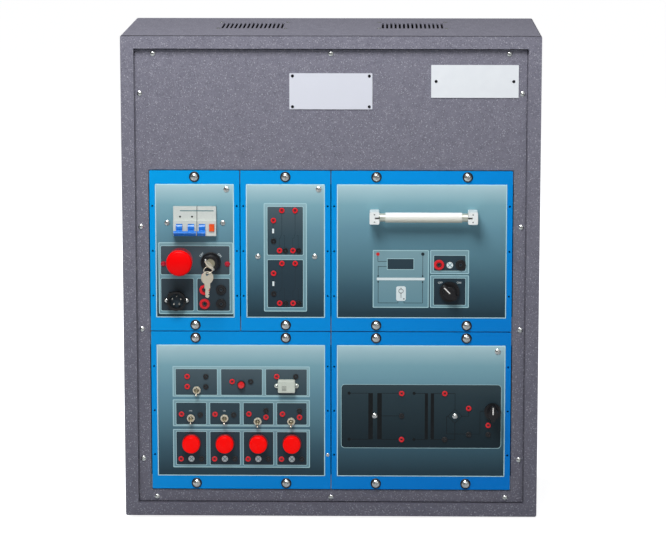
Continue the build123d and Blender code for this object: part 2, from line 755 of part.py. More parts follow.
with BuildPart() as estop_head:
    with BuildSketch(Plane(origin=estop_place.origin, x_dir=(1, 0, 0), z_dir=(0, 0, -1))):
        with BuildLine():
            Polyline((0, estop_head_top), (0, estop_stem_reach + estop_spigot_length + slide_gap),
                     (estop_spigot + running_fit, estop_stem_reach + estop_spigot_length + slide_gap),
                     (estop_spigot + running_fit, estop_stem_reach + slide_gap),
                     (estop_hub, estop_stem_reach + slide_gap),
                     (estop_hub, estop_head_skirt + estop_undercut),
                     (estop_head_radius - estop_undercut, estop_head_skirt),
                     (estop_head_radius - estop_edge, estop_head_skirt),
                     (estop_head_radius, estop_head_skirt + estop_edge),
                     (estop_head_radius, estop_head_skirt + estop_rim))
            ThreePointArc((estop_head_radius, estop_head_skirt + estop_rim),
                          (0.93 * estop_head_radius, estop_head_skirt + 0.86 * shoulder_rise),
                          (estop_shoulder, shoulder_top))
            ThreePointArc((estop_shoulder, shoulder_top), (estop_shoulder / 2, half_dome),
                          (0, estop_head_top))
        make_face()
    revolve(axis=Axis(estop_place.origin, (0, -1, 0)))
write(estop_head.part, "estop_head")

# Key switch: a fixed bezel, a barrel that turns in it, and the key in the barrel's slot
key_inset = 36.0
key_at = (single_plate / 2 - key_inset, -17.0)
bezel_radius = 15.5
bezel_rise = 4.0
bezel_floor = 1.5
bezel_edge = 0.8
barrel_head = 13.0
barrel_stem = 8.0
barrel_depth = 22.0
core_radius = 7.0
core_rise = 2.0
barrel_bevel = 2.0
switch_shank = 11.0
switch_shank_length = 28.0
key_rest = 45.0
key_place = facing(plate_level, *on(supply_at, *key_at))
bore_plate("supply", [key_at], switch_shank + fit)
write(turned(key_place, [
    (barrel_head + turn_gap, bezel_rise), (bezel_radius - bezel_edge, bezel_rise),
    (bezel_radius, bezel_rise - bezel_edge),
    (bezel_radius, 0), (switch_shank, 0), (switch_shank, -plate_thick), (estop_nut, -plate_thick),
    (estop_nut, -plate_thick - estop_nut_thick), (switch_shank, -plate_thick - estop_nut_thick),
    (switch_shank, -switch_shank_length), (0, -switch_shank_length),
    (0, housing_floor - switch_shank_length),
    (barrel_stem + running_fit, housing_floor - switch_shank_length),
    (barrel_stem + running_fit, bezel_floor),
    (barrel_head + turn_gap, bezel_floor)]), "key_switch_body")


def key_plane(level):
    """Plane of the inserted key, its local y running out of the lock."""
    lean = radians(key_rest)
    spot = on(supply_at, *key_at)
    return Plane(origin=(spot[0], front_y - level, spot[1]), x_dir=(-sin(lean), 0, cos(lean)),
                 z_dir=(cos(lean), 0, sin(lean)))


def key_shape(place):
    """Flat key drawn down from the middle of its bow, in the middle of its thickness."""
    with BuildPart() as made:
        with BuildSketch(place):
            Circle(key_bow_radius)
            with Locations((0, -key_shoulder_end / 2)):
                Rectangle(key_shoulder_width, key_shoulder_end)
            with Locations((0, -key_blade_end / 2)):
                Rectangle(key_blade_width, key_blade_end)
            with Locations((0, key_hole_offset)):
                Circle(key_hole_radius, mode=Mode.SUBTRACT)
            for number, cut in enumerate(key_cuts, 1):
                with Locations((key_blade_width / 2 - cut / 2, -key_shoulder_end - number * key_cut_pitch)):
                    Rectangle(cut, key_cut_width, mode=Mode.SUBTRACT)
        extrude(amount=key_thick / 2, both=True)
        blade_tip = made.edges().filter_by(lambda edge: edge.length < 1.2 * key_thick).sort_by(
            lambda edge: (edge.center() - place.origin).dot(place.y_dir))[:2]
        chamfer(blade_tip, key_blade_width / 3)
    return made.part


barrel_round = turned(key_place, [
    (0, -barrel_depth), (barrel_stem, -barrel_depth), (barrel_stem, bezel_floor + slide_gap),
    (barrel_head, bezel_floor + slide_gap), (barrel_head, lock_face - core_rise - barrel_bevel),
    (barrel_head - barrel_bevel, lock_face - core_rise), (core_radius, lock_face - core_rise),
    (core_radius, lock_face), (0, lock_face)])
with BuildPart() as key_barrel:
    add(barrel_round)
    with BuildSketch(key_plane(plate_level + lock_face)):
        with Locations((0, -barrel_depth / 2)):
            Rectangle(key_blade_width + 2 * slide_gap, barrel_depth)
    extrude(amount=key_thick / 2 + slide_gap, both=True, mode=Mode.SUBTRACT)
write(key_barrel.part, "key_barrel")
write(key_shape(key_plane(plate_level + lock_face + key_bow_centre)), "supply_key")

# Key ring through the bow, and the spare key that hangs from the lowest point of the ring
key_x, key_z = on(supply_at, *key_at)
ring_top = Vector(key_x, front_y - plate_level - hole_ahead, key_z)
ring_across = Vector(cos(radians(ring_turn)), -sin(radians(ring_turn)), 0)
ring_out = Vector(-sin(radians(ring_turn)), -cos(radians(ring_turn)), 0)
ring_down = ring_out * sin(radians(ring_lean)) - Vector(0, 0, cos(radians(ring_lean)))
ring_centre = ring_top + ring_down * ring_radius
with BuildPart() as key_ring:
    with BuildSketch(Plane(origin=ring_top, x_dir=ring_down, z_dir=ring_across)):
        Circle(ring_wire)
    revolve(axis=Axis(ring_centre, ring_down.cross(ring_across)))
write(key_ring.part, "key_ring")
spare_hole = ring_centre + ring_down * ring_radius - Vector(0, 0, spare_drop)
write(key_shape(Plane(origin=spare_hole - Vector(0, 0, key_hole_offset),
                      x_dir=(cos(radians(spare_turn)), sin(radians(spare_turn)), 0),
                      z_dir=(sin(radians(spare_turn)), -cos(radians(spare_turn)), 0))), "spare_key")

# Indicator diodes, one each side of the stop button and the key switch
diode_insets = (12.0, 10.5)
diode_z = -20.0
diode_spots = [(diode_insets[0] - single_plate / 2, diode_z), (single_plate / 2 - diode_insets[1], diode_z)]
diode_radius = 3.3
diode_rim = 4.2
diode_rim_rise = 0.9
diode_dome_rise = 3.2
diode_length = 10.0
diode_shoulder = (0.8 * diode_radius, 0.75 * diode_dome_rise)
bore_plate("supply", diode_spots, diode_radius + fit)
group([turned(facing(plate_level, *on(supply_at, *spot)), [
    (0, -diode_length), (diode_radius, -diode_length), (diode_radius, 0), (diode_rim, 0),
    (diode_rim, diode_rim_rise), (diode_radius, diode_rim_rise), diode_shoulder, (0, diode_dome_rise)])
    for spot in diode_spots], "supply_lamps")

# Round five pole inlet with two screwed ears
inlet_at = (-28.7, -77.0)
inlet_radius = 15.0
inlet_rise = 10.0
inlet_flange_rise = 2.5
inlet_ear = (15.7, 4.2)
inlet_notch = 3.1
inlet_screw = (1.0, 2.8, 1.6)
inlet_key = (0.62, 4.0)
inlet_bore = 11.5
inlet_bore_depth = 18.0
inlet_shank = 13.5
inlet_shank_length = 24.0
inlet_pin_radius = 1.25
inlet_pin_circle = 7.0
inlet_pin_length = 13.0
bore_plate("supply", [inlet_at], inlet_shank + fit)
with BuildPart() as inlet_socket:
    inlet_spot = on(supply_at, *inlet_at)
    with BuildSketch(facing(plate_level, *inlet_spot)):
        Circle(inlet_radius)
        with Locations((-inlet_ear[0], 0), (inlet_ear[0], 0)):
            Circle(inlet_ear[1])
        Rectangle(2 * inlet_ear[0], 1.6 * inlet_ear[1])
    extrude(amount=inlet_flange_rise)
    with BuildSketch(facing(plate_level, *inlet_spot)):
        Circle(inlet_radius)
        with Locations((-inlet_radius * inlet_key[0], inlet_radius * inlet_key[0])):
            Circle(inlet_key[1])
    extrude(amount=inlet_rise)
    with BuildSketch(facing(plate_level + inlet_flange_rise, *inlet_spot)):
        with Locations((-inlet_ear[0], 0), (inlet_ear[0], 0)):
            Circle(inlet_notch)
    extrude(amount=inlet_rise, mode=Mode.SUBTRACT)
    with BuildSketch(facing(plate_level, *inlet_spot)):
        Circle(inlet_shank)
    extrude(amount=-inlet_shank_length)
    with BuildSketch(facing(plate_level + inlet_rise, *inlet_spot)):
        Circle(inlet_bore)
    extrude(amount=-inlet_bore_depth, mode=Mode.SUBTRACT)
    with BuildSketch(facing(plate_level, *inlet_spot)):
        with Locations((-inlet_ear[0], 0), (inlet_ear[0], 0)):
            Circle(inlet_screw[0] + hole_clearance)
    extrude(amount=inlet_flange_rise, mode=Mode.SUBTRACT)
    with BuildSketch(facing(plate_level + inlet_rise - inlet_bore_depth, *inlet_spot)):
        with PolarLocations(inlet_pin_circle, 5, 90.0):
            Circle(inlet_pin_radius)
    extrude(amount=inlet_pin_length)
write(inlet_socket.part, "inlet_socket")

# Relay unit: two relays on a board that stands on pillars behind the relay faceplate
relay_pillar_x = (-42.4, 44.9)
relay_pillar_z = -8.0
relay_pillar = 4.0
relay_board_level = 16.0
relay_board = (98.0, 150.0, 1.6)
relay_box = (28.0, 36.0, 38.0)
with BuildPart() as relays:
    with BuildSketch(facing(plate_back, *relay_at)):
        with Locations((relay_pillar_x[0], relay_pillar_z), (relay_pillar_x[1], relay_pillar_z)):
            Circle(relay_pillar)
    extrude(amount=-relay_board_level)
    with BuildSketch(facing(plate_back - relay_board_level, *on(relay_at, sum(relay_pillar_x) / 2,
                                                                relay_pillar_z))):
        Rectangle(relay_board[0], relay_board[1])
    extrude(amount=-relay_board[2])
    for side in (-1, 1):
        with BuildSketch(facing(plate_back - relay_board_level - relay_board[2],
                                *on(relay_at, 0, relay_pillar_z + side * relay_group_drop / 2))):
            RectangleRounded(relay_box[0], relay_box[1], 1.0)
        extrude(amount=-relay_box[2])
    with BuildSketch(facing(plate_back, *relay_at)):
        with Locations((relay_pillar_x[0], relay_pillar_z), (relay_pillar_x[1], relay_pillar_z)):
            Circle(ear_screw_radius + fit)
    extrude(amount=-relay_board_level, mode=Mode.SUBTRACT)
write(relays.part, "relays")

# Fluorescent tube between two lamp holders, its ballast behind the faceplate
tube_centre = (2.5, 56.0)
tube_level = 19.0
tube_radius = 7.8
tube_half_length = 67.3
tube_cap_length = 9.0
tube_cap_radius = 6.6
tube_pin_radius = 1.1
tube_pin_half_pitch = 2.5
tube_pin_length = 6.5
holder_width = 15.0
holder_height = 19.0
holder_depth = 28.0
holder_corner = 2.0
holder_end_gap = 0.3
holder_slot_radius = 4.2
holder_foot = 6.0
tube_axis_x, tube_axis_z = on(fluorescent_at, *tube_centre)
tube_axis_level = plate_level + tube_level
holder_inner = tube_half_length + holder_end_gap
with BuildPart() as lamp_holders:
    for side in (-1, 1):
        holder_x = tube_axis_x + side * (holder_inner + holder_width / 2)
        with BuildSketch(facing(plate_level, holder_x, tube_axis_z)):
            RectangleRounded(holder_width, holder_height, holder_corner)
        extrude(amount=holder_depth)
        with BuildSketch(facing(plate_level, holder_x, tube_axis_z)):
            Circle(holder_foot)
        extrude(amount=-plate_thick - barb_length)
        socket_from = tube_axis_x + side * holder_inner
        with BuildSketch(sideways(socket_from, tube_axis_level, tube_axis_z)):
            Circle(holder_slot_radius)
        extrude(amount=side * (tube_pin_length + slide_gap), mode=Mode.SUBTRACT)
        with BuildSketch(facing(tube_axis_level, socket_from, tube_axis_z)):
            Rectangle(2 * (tube_pin_length + slide_gap), 2 * (tube_pin_radius + slide_gap))
        extrude(amount=holder_depth - tube_level, mode=Mode.SUBTRACT)
write(lamp_holders.part, "lamp_holders")
bore_plate("fluorescent", [(tube_centre[0] + side * (holder_inner + holder_width / 2), tube_centre[1])
                           for side in (-1, 1)], holder_foot + fit)
with BuildPart() as tube_glass:
    glass_half = tube_half_length - tube_cap_length
    with BuildSketch(sideways(tube_axis_x - glass_half, tube_axis_level, tube_axis_z)):
        Circle(tube_radius)
    extrude(amount=2 * glass_half)
write(tube_glass.part, "tube_glass")
with BuildPart() as tube_caps:
    for side in (-1, 1):
        with BuildSketch(sideways(tube_axis_x + side * glass_half, tube_axis_level, tube_axis_z)):
            Circle(tube_cap_radius)
        extrude(amount=side * tube_cap_length)
        with BuildSketch(sideways(tube_axis_x + side * tube_half_length, tube_axis_level, tube_axis_z)):
            with Locations((0, -tube_pin_half_pitch), (0, tube_pin_half_pitch)):
                Circle(tube_pin_radius)
        extrude(amount=side * tube_pin_length)
write(tube_caps.part, "tube_caps")

ballast_at = (-32.0, -45.0)
ballast_size = (88.0, 42.0, 26.0)
with BuildPart() as ballast:
    with BuildSketch(facing(plate_back, *on(fluorescent_at, *ballast_at))):
        RectangleRounded(ballast_size[0], ballast_size[1], 2.0)
    extrude(amount=-ballast_size[2])
write(ballast.part, "ballast")


grip_reach = 0.96
grip_boss = 0.62
grip_edge = 0.06


def knob(place, radius, height, grip_width, shaft_radius, shaft_depth, pointer_angle):
    """Round knob with a raised grip bar across it, turned to an angle, on its shaft."""
    skirt = 0.25 * height
    with BuildPart() as made:
        with BuildSketch(place.offset(slide_gap)):
            Circle(radius)
        extrude(amount=skirt)
        with BuildSketch(place.offset(slide_gap + skirt)):
            with Locations(Location((0, 0), pointer_angle)):
                SlotOverall(2 * grip_reach * radius, grip_width)
            Circle(grip_boss * radius)
        extrude(amount=height - skirt - slide_gap)
        fillet(made.faces().sort_by(Axis(place.origin, place.z_dir))[-1].edges(), grip_edge * radius)
        with BuildSketch(place.offset(slide_gap)):
            Circle(shaft_radius)
        extrude(amount=-shaft_depth)
    return made.part


def shaft_housing(place, bush_radius, shaft_radius, width, depth):
    """Square body behind a faceplate with a bush through it and a bore for a shaft."""
    with BuildPart() as made:
        with BuildSketch(place):
            Circle(bush_radius)
        extrude(amount=-plate_thick)
        with BuildSketch(place.offset(-plate_thick)):
            RectangleRounded(width, width, 1.5)
        extrude(amount=-depth)
        with BuildSketch(place):
            Circle(shaft_radius + running_fit)
        extrude(amount=-plate_thick - depth / 2, mode=Mode.SUBTRACT)
    return made.part


# Rotary lamp switch and its knob, which points up and to the left when off
rotary_at = (43.0, -62.0)
rotary_radius = 15.5
rotary_height = 16.0
rotary_shaft = 3.0
rotary_bush = 6.0
rotary_body = (30.0, 34.0)
rotary_shaft_depth = 14.0
rotary_grip = 9.0
rotary_pointer = 135.0
rotary_place = facing(plate_level, *on(fluorescent_at, *rotary_at))
bore_plate("fluorescent", [rotary_at], rotary_bush + fit)
write(shaft_housing(rotary_place, rotary_bush, rotary_shaft, *rotary_body), "rotary_switch_body")
write(knob(rotary_place, rotary_radius, rotary_height, rotary_grip, rotary_shaft, rotary_shaft_depth,
           rotary_pointer), "rotary_switch_knob")

# Output control and its knob
output_inset = 19.25
output_at = (double_plate / 2 - output_inset, 0.5)
output_radius = 13.0
output_height = 24.0
output_body = (18.0, 14.0)
output_shaft_depth = 8.0
output_grip = 8.0
output_pointer = 90.0
output_place = facing(plate_level, *on(power_at, *output_at))
bore_plate("power", [output_at], rotary_bush + fit)
write(shaft_housing(output_place, rotary_bush, rotary_shaft, *output_body), "output_control_body")
write(knob(output_place, output_radius, output_height, output_grip, rotary_shaft, output_shaft_depth,
           output_pointer), "output_control_knob")

# Toggle switches, each a threaded bush with its nut and a lever on a ball
toggle_nut = 6.0
toggle_nut_rise = 2.4
toggle_bush = 5.0
toggle_rise = 6.0
toggle_mouth = 4.3
toggle_throat = 2.7
toggle_ball = 2.3
toggle_ball_level = 1.5
toggle_lever_length = 14.5
toggle_tip = 1.7
toggle_root = 1.2
toggle_lean = 25.0
toggle_body = (13.0, 18.0, 14.0)
toggle_spots = [(-68.7, 32.5)] + [(c - 0.5, -12.2) for c in bays[:2]] + [(c - 1.0, -16.8) for c in bays[2:]]
bore_plate("lighting", toggle_spots, toggle_bush + fit)


def toggle_switch(spot):
    """Switch body, bush and nut, with a flared mouth that the lever leaves by."""
    place = facing(plate_level, *spot)
    bush = turned(place, [
        (toggle_mouth, toggle_rise), (toggle_bush, toggle_rise), (toggle_bush, toggle_nut_rise),
        (toggle_nut, toggle_nut_rise), (toggle_nut, 0), (toggle_bush, 0), (toggle_bush, -plate_thick),
        (0, -plate_thick), (0, toggle_ball_level - toggle_ball - turn_gap),
        (toggle_throat, toggle_ball_level - toggle_ball - turn_gap), (toggle_throat, toggle_ball_level)])
    with BuildPart() as made:
        add(bush)
        with BuildSketch(place.offset(-plate_thick)):
            Rectangle(toggle_body[0], toggle_body[1])
        extrude(amount=-toggle_body[2])
    return made.part


def toggle_lever(spot):
    """Tapered lever on its ball, leaning down at rest."""
    lean = radians(toggle_lean)
    ball_centre = Vector(spot[0], front_y - plate_level - toggle_ball_level, spot[1])
    out = Vector(0, -cos(lean), -sin(lean))
    place = Plane(origin=ball_centre, x_dir=(1, 0, 0), z_dir=out)
    stick = turned(place, [
        (0, 0), (toggle_root, 0), (toggle_tip, toggle_lever_length - 1.0),
        (0.6 * toggle_tip, toggle_lever_length), (0, toggle_lever_length)])
    with BuildPart() as made:
        add(stick)
        with Locations(place.location):
            Sphere(toggle_ball)
    return made.part


group([toggle_switch(on(lighting_at, *spot)) for spot in toggle_spots], "toggle_switch_bodies")
for number, spot in enumerate(toggle_spots, 1):
    write(toggle_lever(on(lighting_at, *spot)), f"toggle_lever_{number}")

# Push-button with a sprung cap
push_at = (0.5, 41.3)
push_collar = 6.4
push_collar_rise = 1.6
push_cap = 5.2
push_cap_rise = 7.0
push_shank_length = 16.0
push_cap_depth = 6.0
push_travel = 3.0
push_shank = push_collar - 0.6
push_cap_crown = (0.82 * push_cap, 0.5)
push_cap_shoulder = 1.6
push_place = facing(plate_level, *on(lighting_at, *push_at))
bore_plate("lighting", [push_at], push_shank + fit)
push_floor = -push_cap_depth - push_travel - slide_gap
write(turned(push_place, [
    (push_cap + slide_gap, push_collar_rise), (push_collar, push_collar_rise), (push_collar, 0),
    (push_shank, 0), (push_shank, -push_shank_length), (0, -push_shank_length), (0, push_floor),
    (push_cap + slide_gap, push_floor)]), "push_button_body")
write(turned(push_place, [
    (0, -push_cap_depth), (push_cap, -push_cap_depth), (push_cap, push_cap_rise - push_cap_shoulder),
    (push_cap_crown[0], push_cap_rise - push_cap_crown[1]), (0, push_cap_rise)]), "push_button_cap")

# Pilot lamps: a collar through the faceplate and a red lens pressed on it
pilot_z = -52.0
pilot_collar = 14.6
pilot_collar_rise = 5.0
pilot_shank = 10.5
pilot_shank_length = 20.0
pilot_lens = 13.4
pilot_lens_rise = 15.5
pilot_collar_edge = 0.8
pilot_lens_steps = ((0.0, 2.6), (0.8, 1.0), (2.6, 0.3))
pilot_spots = [(c, pilot_z) for c in bays]
bore_plate("lighting", pilot_spots, pilot_shank + fit)
group([turned(facing(plate_level, *on(lighting_at, *spot)), [
    (0, pilot_collar_rise), (pilot_collar - pilot_collar_edge, pilot_collar_rise),
    (pilot_collar, pilot_collar_rise - pilot_collar_edge),
    (pilot_collar, 0), (pilot_shank, 0), (pilot_shank, -pilot_shank_length), (0, -pilot_shank_length)])
    for spot in pilot_spots], "pilot_lamp_bases")
lens_profile = [(0, pilot_collar_rise), (pilot_lens, pilot_collar_rise)]
lens_profile += [(pilot_lens - inward, pilot_lens_rise - down) for inward, down in pilot_lens_steps]
lens_profile += [(0, pilot_lens_rise)]
group([turned(facing(plate_level, *on(lighting_at, *spot)), lens_profile) for spot in pilot_spots],
      "pilot_lamp_lenses")

# Buzzer with two screwed ears
buzzer_at = (70.8, 40.0)
buzzer_size = (26.5, 19.6, 10.0)
buzzer_ear = (15.4, 3.4, 2.5)
buzzer_screw = (1.0, 2.0, 1.2)
buzzer_grille = (7.0, 6.0, 4)
buzzer_grille_at = (-3.6, -3.0)
buzzer_slit = (0.9, 1.5)
buzzer_shoulder = 4.0
buzzer_edge = 0.8
with BuildPart() as buzzer:
    buzzer_spot = on(lighting_at, *buzzer_at)
    with BuildSketch(facing(plate_level, *buzzer_spot)):
        Rectangle(buzzer_size[0] - buzzer_shoulder, buzzer_size[1])
        Rectangle(2 * buzzer_ear[0], 2 * buzzer_ear[1])
        with Locations((-buzzer_ear[0], 0), (buzzer_ear[0], 0)):
            Circle(buzzer_ear[1])
    extrude(amount=buzzer_ear[2])
    with BuildSketch(facing(plate_level, *buzzer_spot)):
        RectangleRounded(buzzer_size[0], buzzer_size[1], 1.5)
    extrude(amount=buzzer_size[2])
    chamfer(buzzer.faces().sort_by(Axis.Y)[0].edges(), buzzer_edge)
    with BuildSketch(facing(plate_level + buzzer_size[2], *buzzer_spot)):
        with Locations(buzzer_grille_at):
            with GridLocations(0, buzzer_grille[1] / (buzzer_grille[2] - 1), 1, buzzer_grille[2]):
                Rectangle(buzzer_grille[0], buzzer_slit[0])
    extrude(amount=-buzzer_slit[1], mode=Mode.SUBTRACT)
    with BuildSketch(facing(plate_level, *buzzer_spot)):
        with Locations((-buzzer_ear[0], 0), (buzzer_ear[0], 0)):
            Circle(buzzer_screw[0] + hole_clearance)
    extrude(amount=buzzer_ear[2], mode=Mode.SUBTRACT)
write(buzzer.part, "buzzer")

# Transformers behind the power supply faceplate, each held at its middle by one screw
transformer_spots = [(-71.7, -7.4), (52.8, -7.6)]
transformer_post = 7.0
transformer_stand = 12.0
transformer_core = (42.0, 62.0, 34.0)
transformer_coil = (56.0, 36.0, 26.0)
with BuildPart() as transformers:
    for spot in transformer_spots:
        place = facing(plate_back, *on(power_at, *spot))
        with BuildSketch(place):
            Circle(transformer_post)
        extrude(amount=-transformer_stand)
        with BuildSketch(place.offset(-transformer_stand)):
            Rectangle(transformer_core[0], transformer_core[1])
        extrude(amount=-transformer_core[2])
        with BuildSketch(place.offset(-transformer_stand - (transformer_core[2] - transformer_coil[2]) / 2)):
            RectangleRounded(transformer_coil[0], transformer_coil[1], 4.0)
        extrude(amount=-transformer_coil[2])
        with BuildSketch(place):
            Circle(ear_screw_radius + fit)
        extrude(amount=-transformer_stand, mode=Mode.SUBTRACT)
write(transformers.part, "transformers")

# Small screws: corners and devices on the faceplates, the header plates and the fans
corner_insets = {"supply": (11.4, 8.0), "relay": (9.4, 7.5), "power": (12.15, 9.2)}
plate_widths = {module: single_plate if module in ("supply", "relay") else double_plate for module in modules}
corner_screws = {module: [(plate_widths[module] / 2 - inset[0], plate_height / 2 - inset[1])]
                 for module, inset in corner_insets.items()}
corner_radius = 2.2
corner_head = (4.4, 2.4)
corner_length = plate_thick + plate_seat / 2
device_head = (4.0, 2.4)
device_length = 7.0
header_screw_length = 3.2
header_head = (2.3, 1.2)
side_screw_head = (2.7, 1.4)
fan_screw_length = 8.0
fan_head = (3.2, 1.3)
device_screws = {
    "supply": [(breaker_centre[0] + side * ear_screw[0], breaker_centre[1] + ear_screw[1])
               for side in (-1, 1)],
    "relay": [(x, relay_pillar_z) for x in relay_pillar_x],
    "power": transformer_spots}
small_screws = []
for module, spots in corner_screws.items():
    bore_plate(module, spots, corner_radius + fit)
    small_screws += [screw(facing(plate_level, *on(modules[module], *spot)), corner_radius, corner_length,
                           *corner_head) for spot in spots]
for module, spots in device_screws.items():
    bore_plate(module, spots, ear_screw_radius + hole_clearance)
    small_screws += [screw(facing(plate_level, *on(modules[module], *spot)), ear_screw_radius, device_length,
                           *device_head) for spot in spots]
ears = (("supply", inlet_at, inlet_ear[0], inlet_flange_rise, inlet_screw),
        ("lighting", buzzer_at, buzzer_ear[0], buzzer_ear[2], buzzer_screw))
for module, centre, reach, seat, (radius, head_radius, head_height) in ears:
    for spot in ((centre[0] - reach, centre[1]), (centre[0] + reach, centre[1])):
        bore_plate(module, [spot], radius + fit)
        small_screws.append(screw(facing(plate_level + seat, *on(modules[module], *spot)), radius,
                                  seat + plate_thick, head_radius, head_height))
side_screw_at = on(lighting_at, double_frame / 2 - side_hole_inset, -side_hole_pitch)
small_screws.append(screw(facing(frame_level, *side_screw_at), side_hole_radius - fit, frame_thick,
                          *side_screw_head))
small_screws += [screw(facing(panel_level + header_thick, *spot), header_hole_radius, header_screw_length,
                       *header_head) for spot in title_screws + badge_screws]
small_screws += [screw(upward(case_top, *spot), fan_screw_radius, fan_screw_length, *fan_head)
                 for spot in fan_screw_spots]
group(small_screws, "small_screws")

# Faceplates, each bored and cut for what sits in it
for module, centre in modules.items():
    with BuildPart() as faceplate:
        with BuildSketch(facing(plate_level, *centre)):
            RectangleRounded(plate_widths[module], plate_height, plate_corner)
        extrude(amount=-plate_thick)
        chamfer(faceplate.faces().sort_by(Axis.Y)[0].edges(), plate_bevel)
        with BuildSketch(facing(plate_level)):
            for spot, radius in round_holes[module]:
                with Locations(spot):
                    Circle(radius)
            for spot, size in square_holes[module]:
                with Locations(spot):
                    Rectangle(*size)
        extrude(amount=-plate_thick, mode=Mode.SUBTRACT)
    write(faceplate.part, f"{module}_faceplate")
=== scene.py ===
from math import cos, pi, radians, sin

import bmesh
import bpy
from mathutils import Matrix, Vector


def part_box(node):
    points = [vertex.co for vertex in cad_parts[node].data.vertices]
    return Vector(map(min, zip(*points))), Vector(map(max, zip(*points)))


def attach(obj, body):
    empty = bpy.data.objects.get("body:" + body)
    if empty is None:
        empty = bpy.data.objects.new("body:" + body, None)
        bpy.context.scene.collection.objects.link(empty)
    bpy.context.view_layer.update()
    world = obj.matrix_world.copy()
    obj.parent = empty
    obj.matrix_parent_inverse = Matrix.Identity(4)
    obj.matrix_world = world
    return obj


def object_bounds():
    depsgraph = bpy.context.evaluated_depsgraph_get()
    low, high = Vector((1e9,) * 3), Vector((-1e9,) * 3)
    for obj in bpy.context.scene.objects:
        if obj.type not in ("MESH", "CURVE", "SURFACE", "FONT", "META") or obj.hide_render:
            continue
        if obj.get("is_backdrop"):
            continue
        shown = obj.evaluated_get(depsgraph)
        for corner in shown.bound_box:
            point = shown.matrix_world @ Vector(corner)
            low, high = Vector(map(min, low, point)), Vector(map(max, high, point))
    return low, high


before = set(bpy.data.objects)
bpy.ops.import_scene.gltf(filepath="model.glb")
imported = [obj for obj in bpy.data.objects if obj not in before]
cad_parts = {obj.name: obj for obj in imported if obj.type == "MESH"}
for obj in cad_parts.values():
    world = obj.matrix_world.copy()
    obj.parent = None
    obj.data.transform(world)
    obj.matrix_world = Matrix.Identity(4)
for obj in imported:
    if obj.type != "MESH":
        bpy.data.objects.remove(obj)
cad_low, cad_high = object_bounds()

# The camera stands in front of the cabinet and a little above it, where the photograph was taken
# from, but further off and with hardly any shift, so that other views frame the cabinet as well.
picture_width = 666
focal_pixels = 2906.3
sensor_width = 36.0
side_shift = -0.0045
camera_at = (0.0834, -4.5217, 1.1714)
camera_down = radians(10.014)
camera_yaw = radians(0.984)
camera_data = bpy.data.cameras.new("camera")
camera_data.sensor_fit = "HORIZONTAL"
camera_data.sensor_width = sensor_width
camera_data.lens = focal_pixels / picture_width * sensor_width
camera_data.shift_x = side_shift
camera = bpy.data.objects.new("camera", camera_data)
camera.location = camera_at
camera.rotation_euler = (pi / 2 - camera_down, 0.0, camera_yaw)
bpy.context.scene.collection.objects.link(camera)
bpy.context.scene.camera = camera
bpy.context.scene.view_settings.view_transform = "Standard"


# The studio: the floor is a plain pale sheet that keeps the cabinet's shadow, and the world round
# it lights the cabinet softly. Both look white to the camera.
def colour(digits):
    """Colour for a shader from the six digits that it has on a screen."""
    shares = [int(digits[place:place + 2], 16) / 255 for place in (0, 2, 4)]
    linear = [share / 12.92 if share <= 0.04045 else ((share + 0.055) / 1.055) ** 2.4
              for share in shares]
    return (*linear, 1.0)


class Wire:
    """A node's output, whose sums, products and comparisons with numbers add Math nodes."""

    def __init__(self, shader, socket):
        self.shader = shader
        self.socket = socket

    def __add__(self, other):
        return self.shader.maths("ADD", self, other)

    def __sub__(self, other):
        return self.shader.maths("SUBTRACT", self, other)

    def __rsub__(self, other):
        return self.shader.maths("SUBTRACT", other, self)

    def __mul__(self, other):
        return self.shader.maths("MULTIPLY", self, other)

    def __pow__(self, other):
        return self.shader.maths("POWER", self, other)

    def __gt__(self, other):
        return self.shader.maths("GREATER_THAN", self, other)

    def __lt__(self, other):
        return self.shader.maths("LESS_THAN", self, other)

    def __abs__(self):
        return self.shader.maths("ABSOLUTE", self)

    __radd__ = __add__
    __rmul__ = __mul__


class Shader:
    """A tree of nodes. A value for a socket is a wire, a colour's six digits or a plain value."""

    def __init__(self, tree):
        self.tree = tree

    def join(self, value, socket):
        if isinstance(value, Wire):
            self.tree.links.new(value.socket, socket)
        else:
            socket.default_value = colour(value) if isinstance(value, str) else value

    def node(self, kind, settings=(), inputs=(), output=0):
        """Add a node: its settings first, then the values of its sockets."""
        made = self.tree.nodes.new(kind)
        for name, value in dict(settings).items():
            if name == "stops":
                ramp = made.color_ramp.elements
                while len(ramp) < len(value):
                    ramp.new(1.0)
                for stop, (at, digits) in zip(ramp, value):
                    stop.position = at
                    stop.color = colour(digits)
            else:
                setattr(made, name, value)
        for name, value in dict(inputs).items():
            self.join(value, made.inputs[name])
        return Wire(self, made.outputs[output])

    def maths(self, operation, *values):
        return self.node("ShaderNodeMath", {"operation": operation}, dict(enumerate(values)))

    def mix(self, factor, first, second):
        """Blend of two colours."""
        return self.node("ShaderNodeMix", {"data_type": "RGBA"}, {0: factor, 6: first, 7: second},
                         output=2)


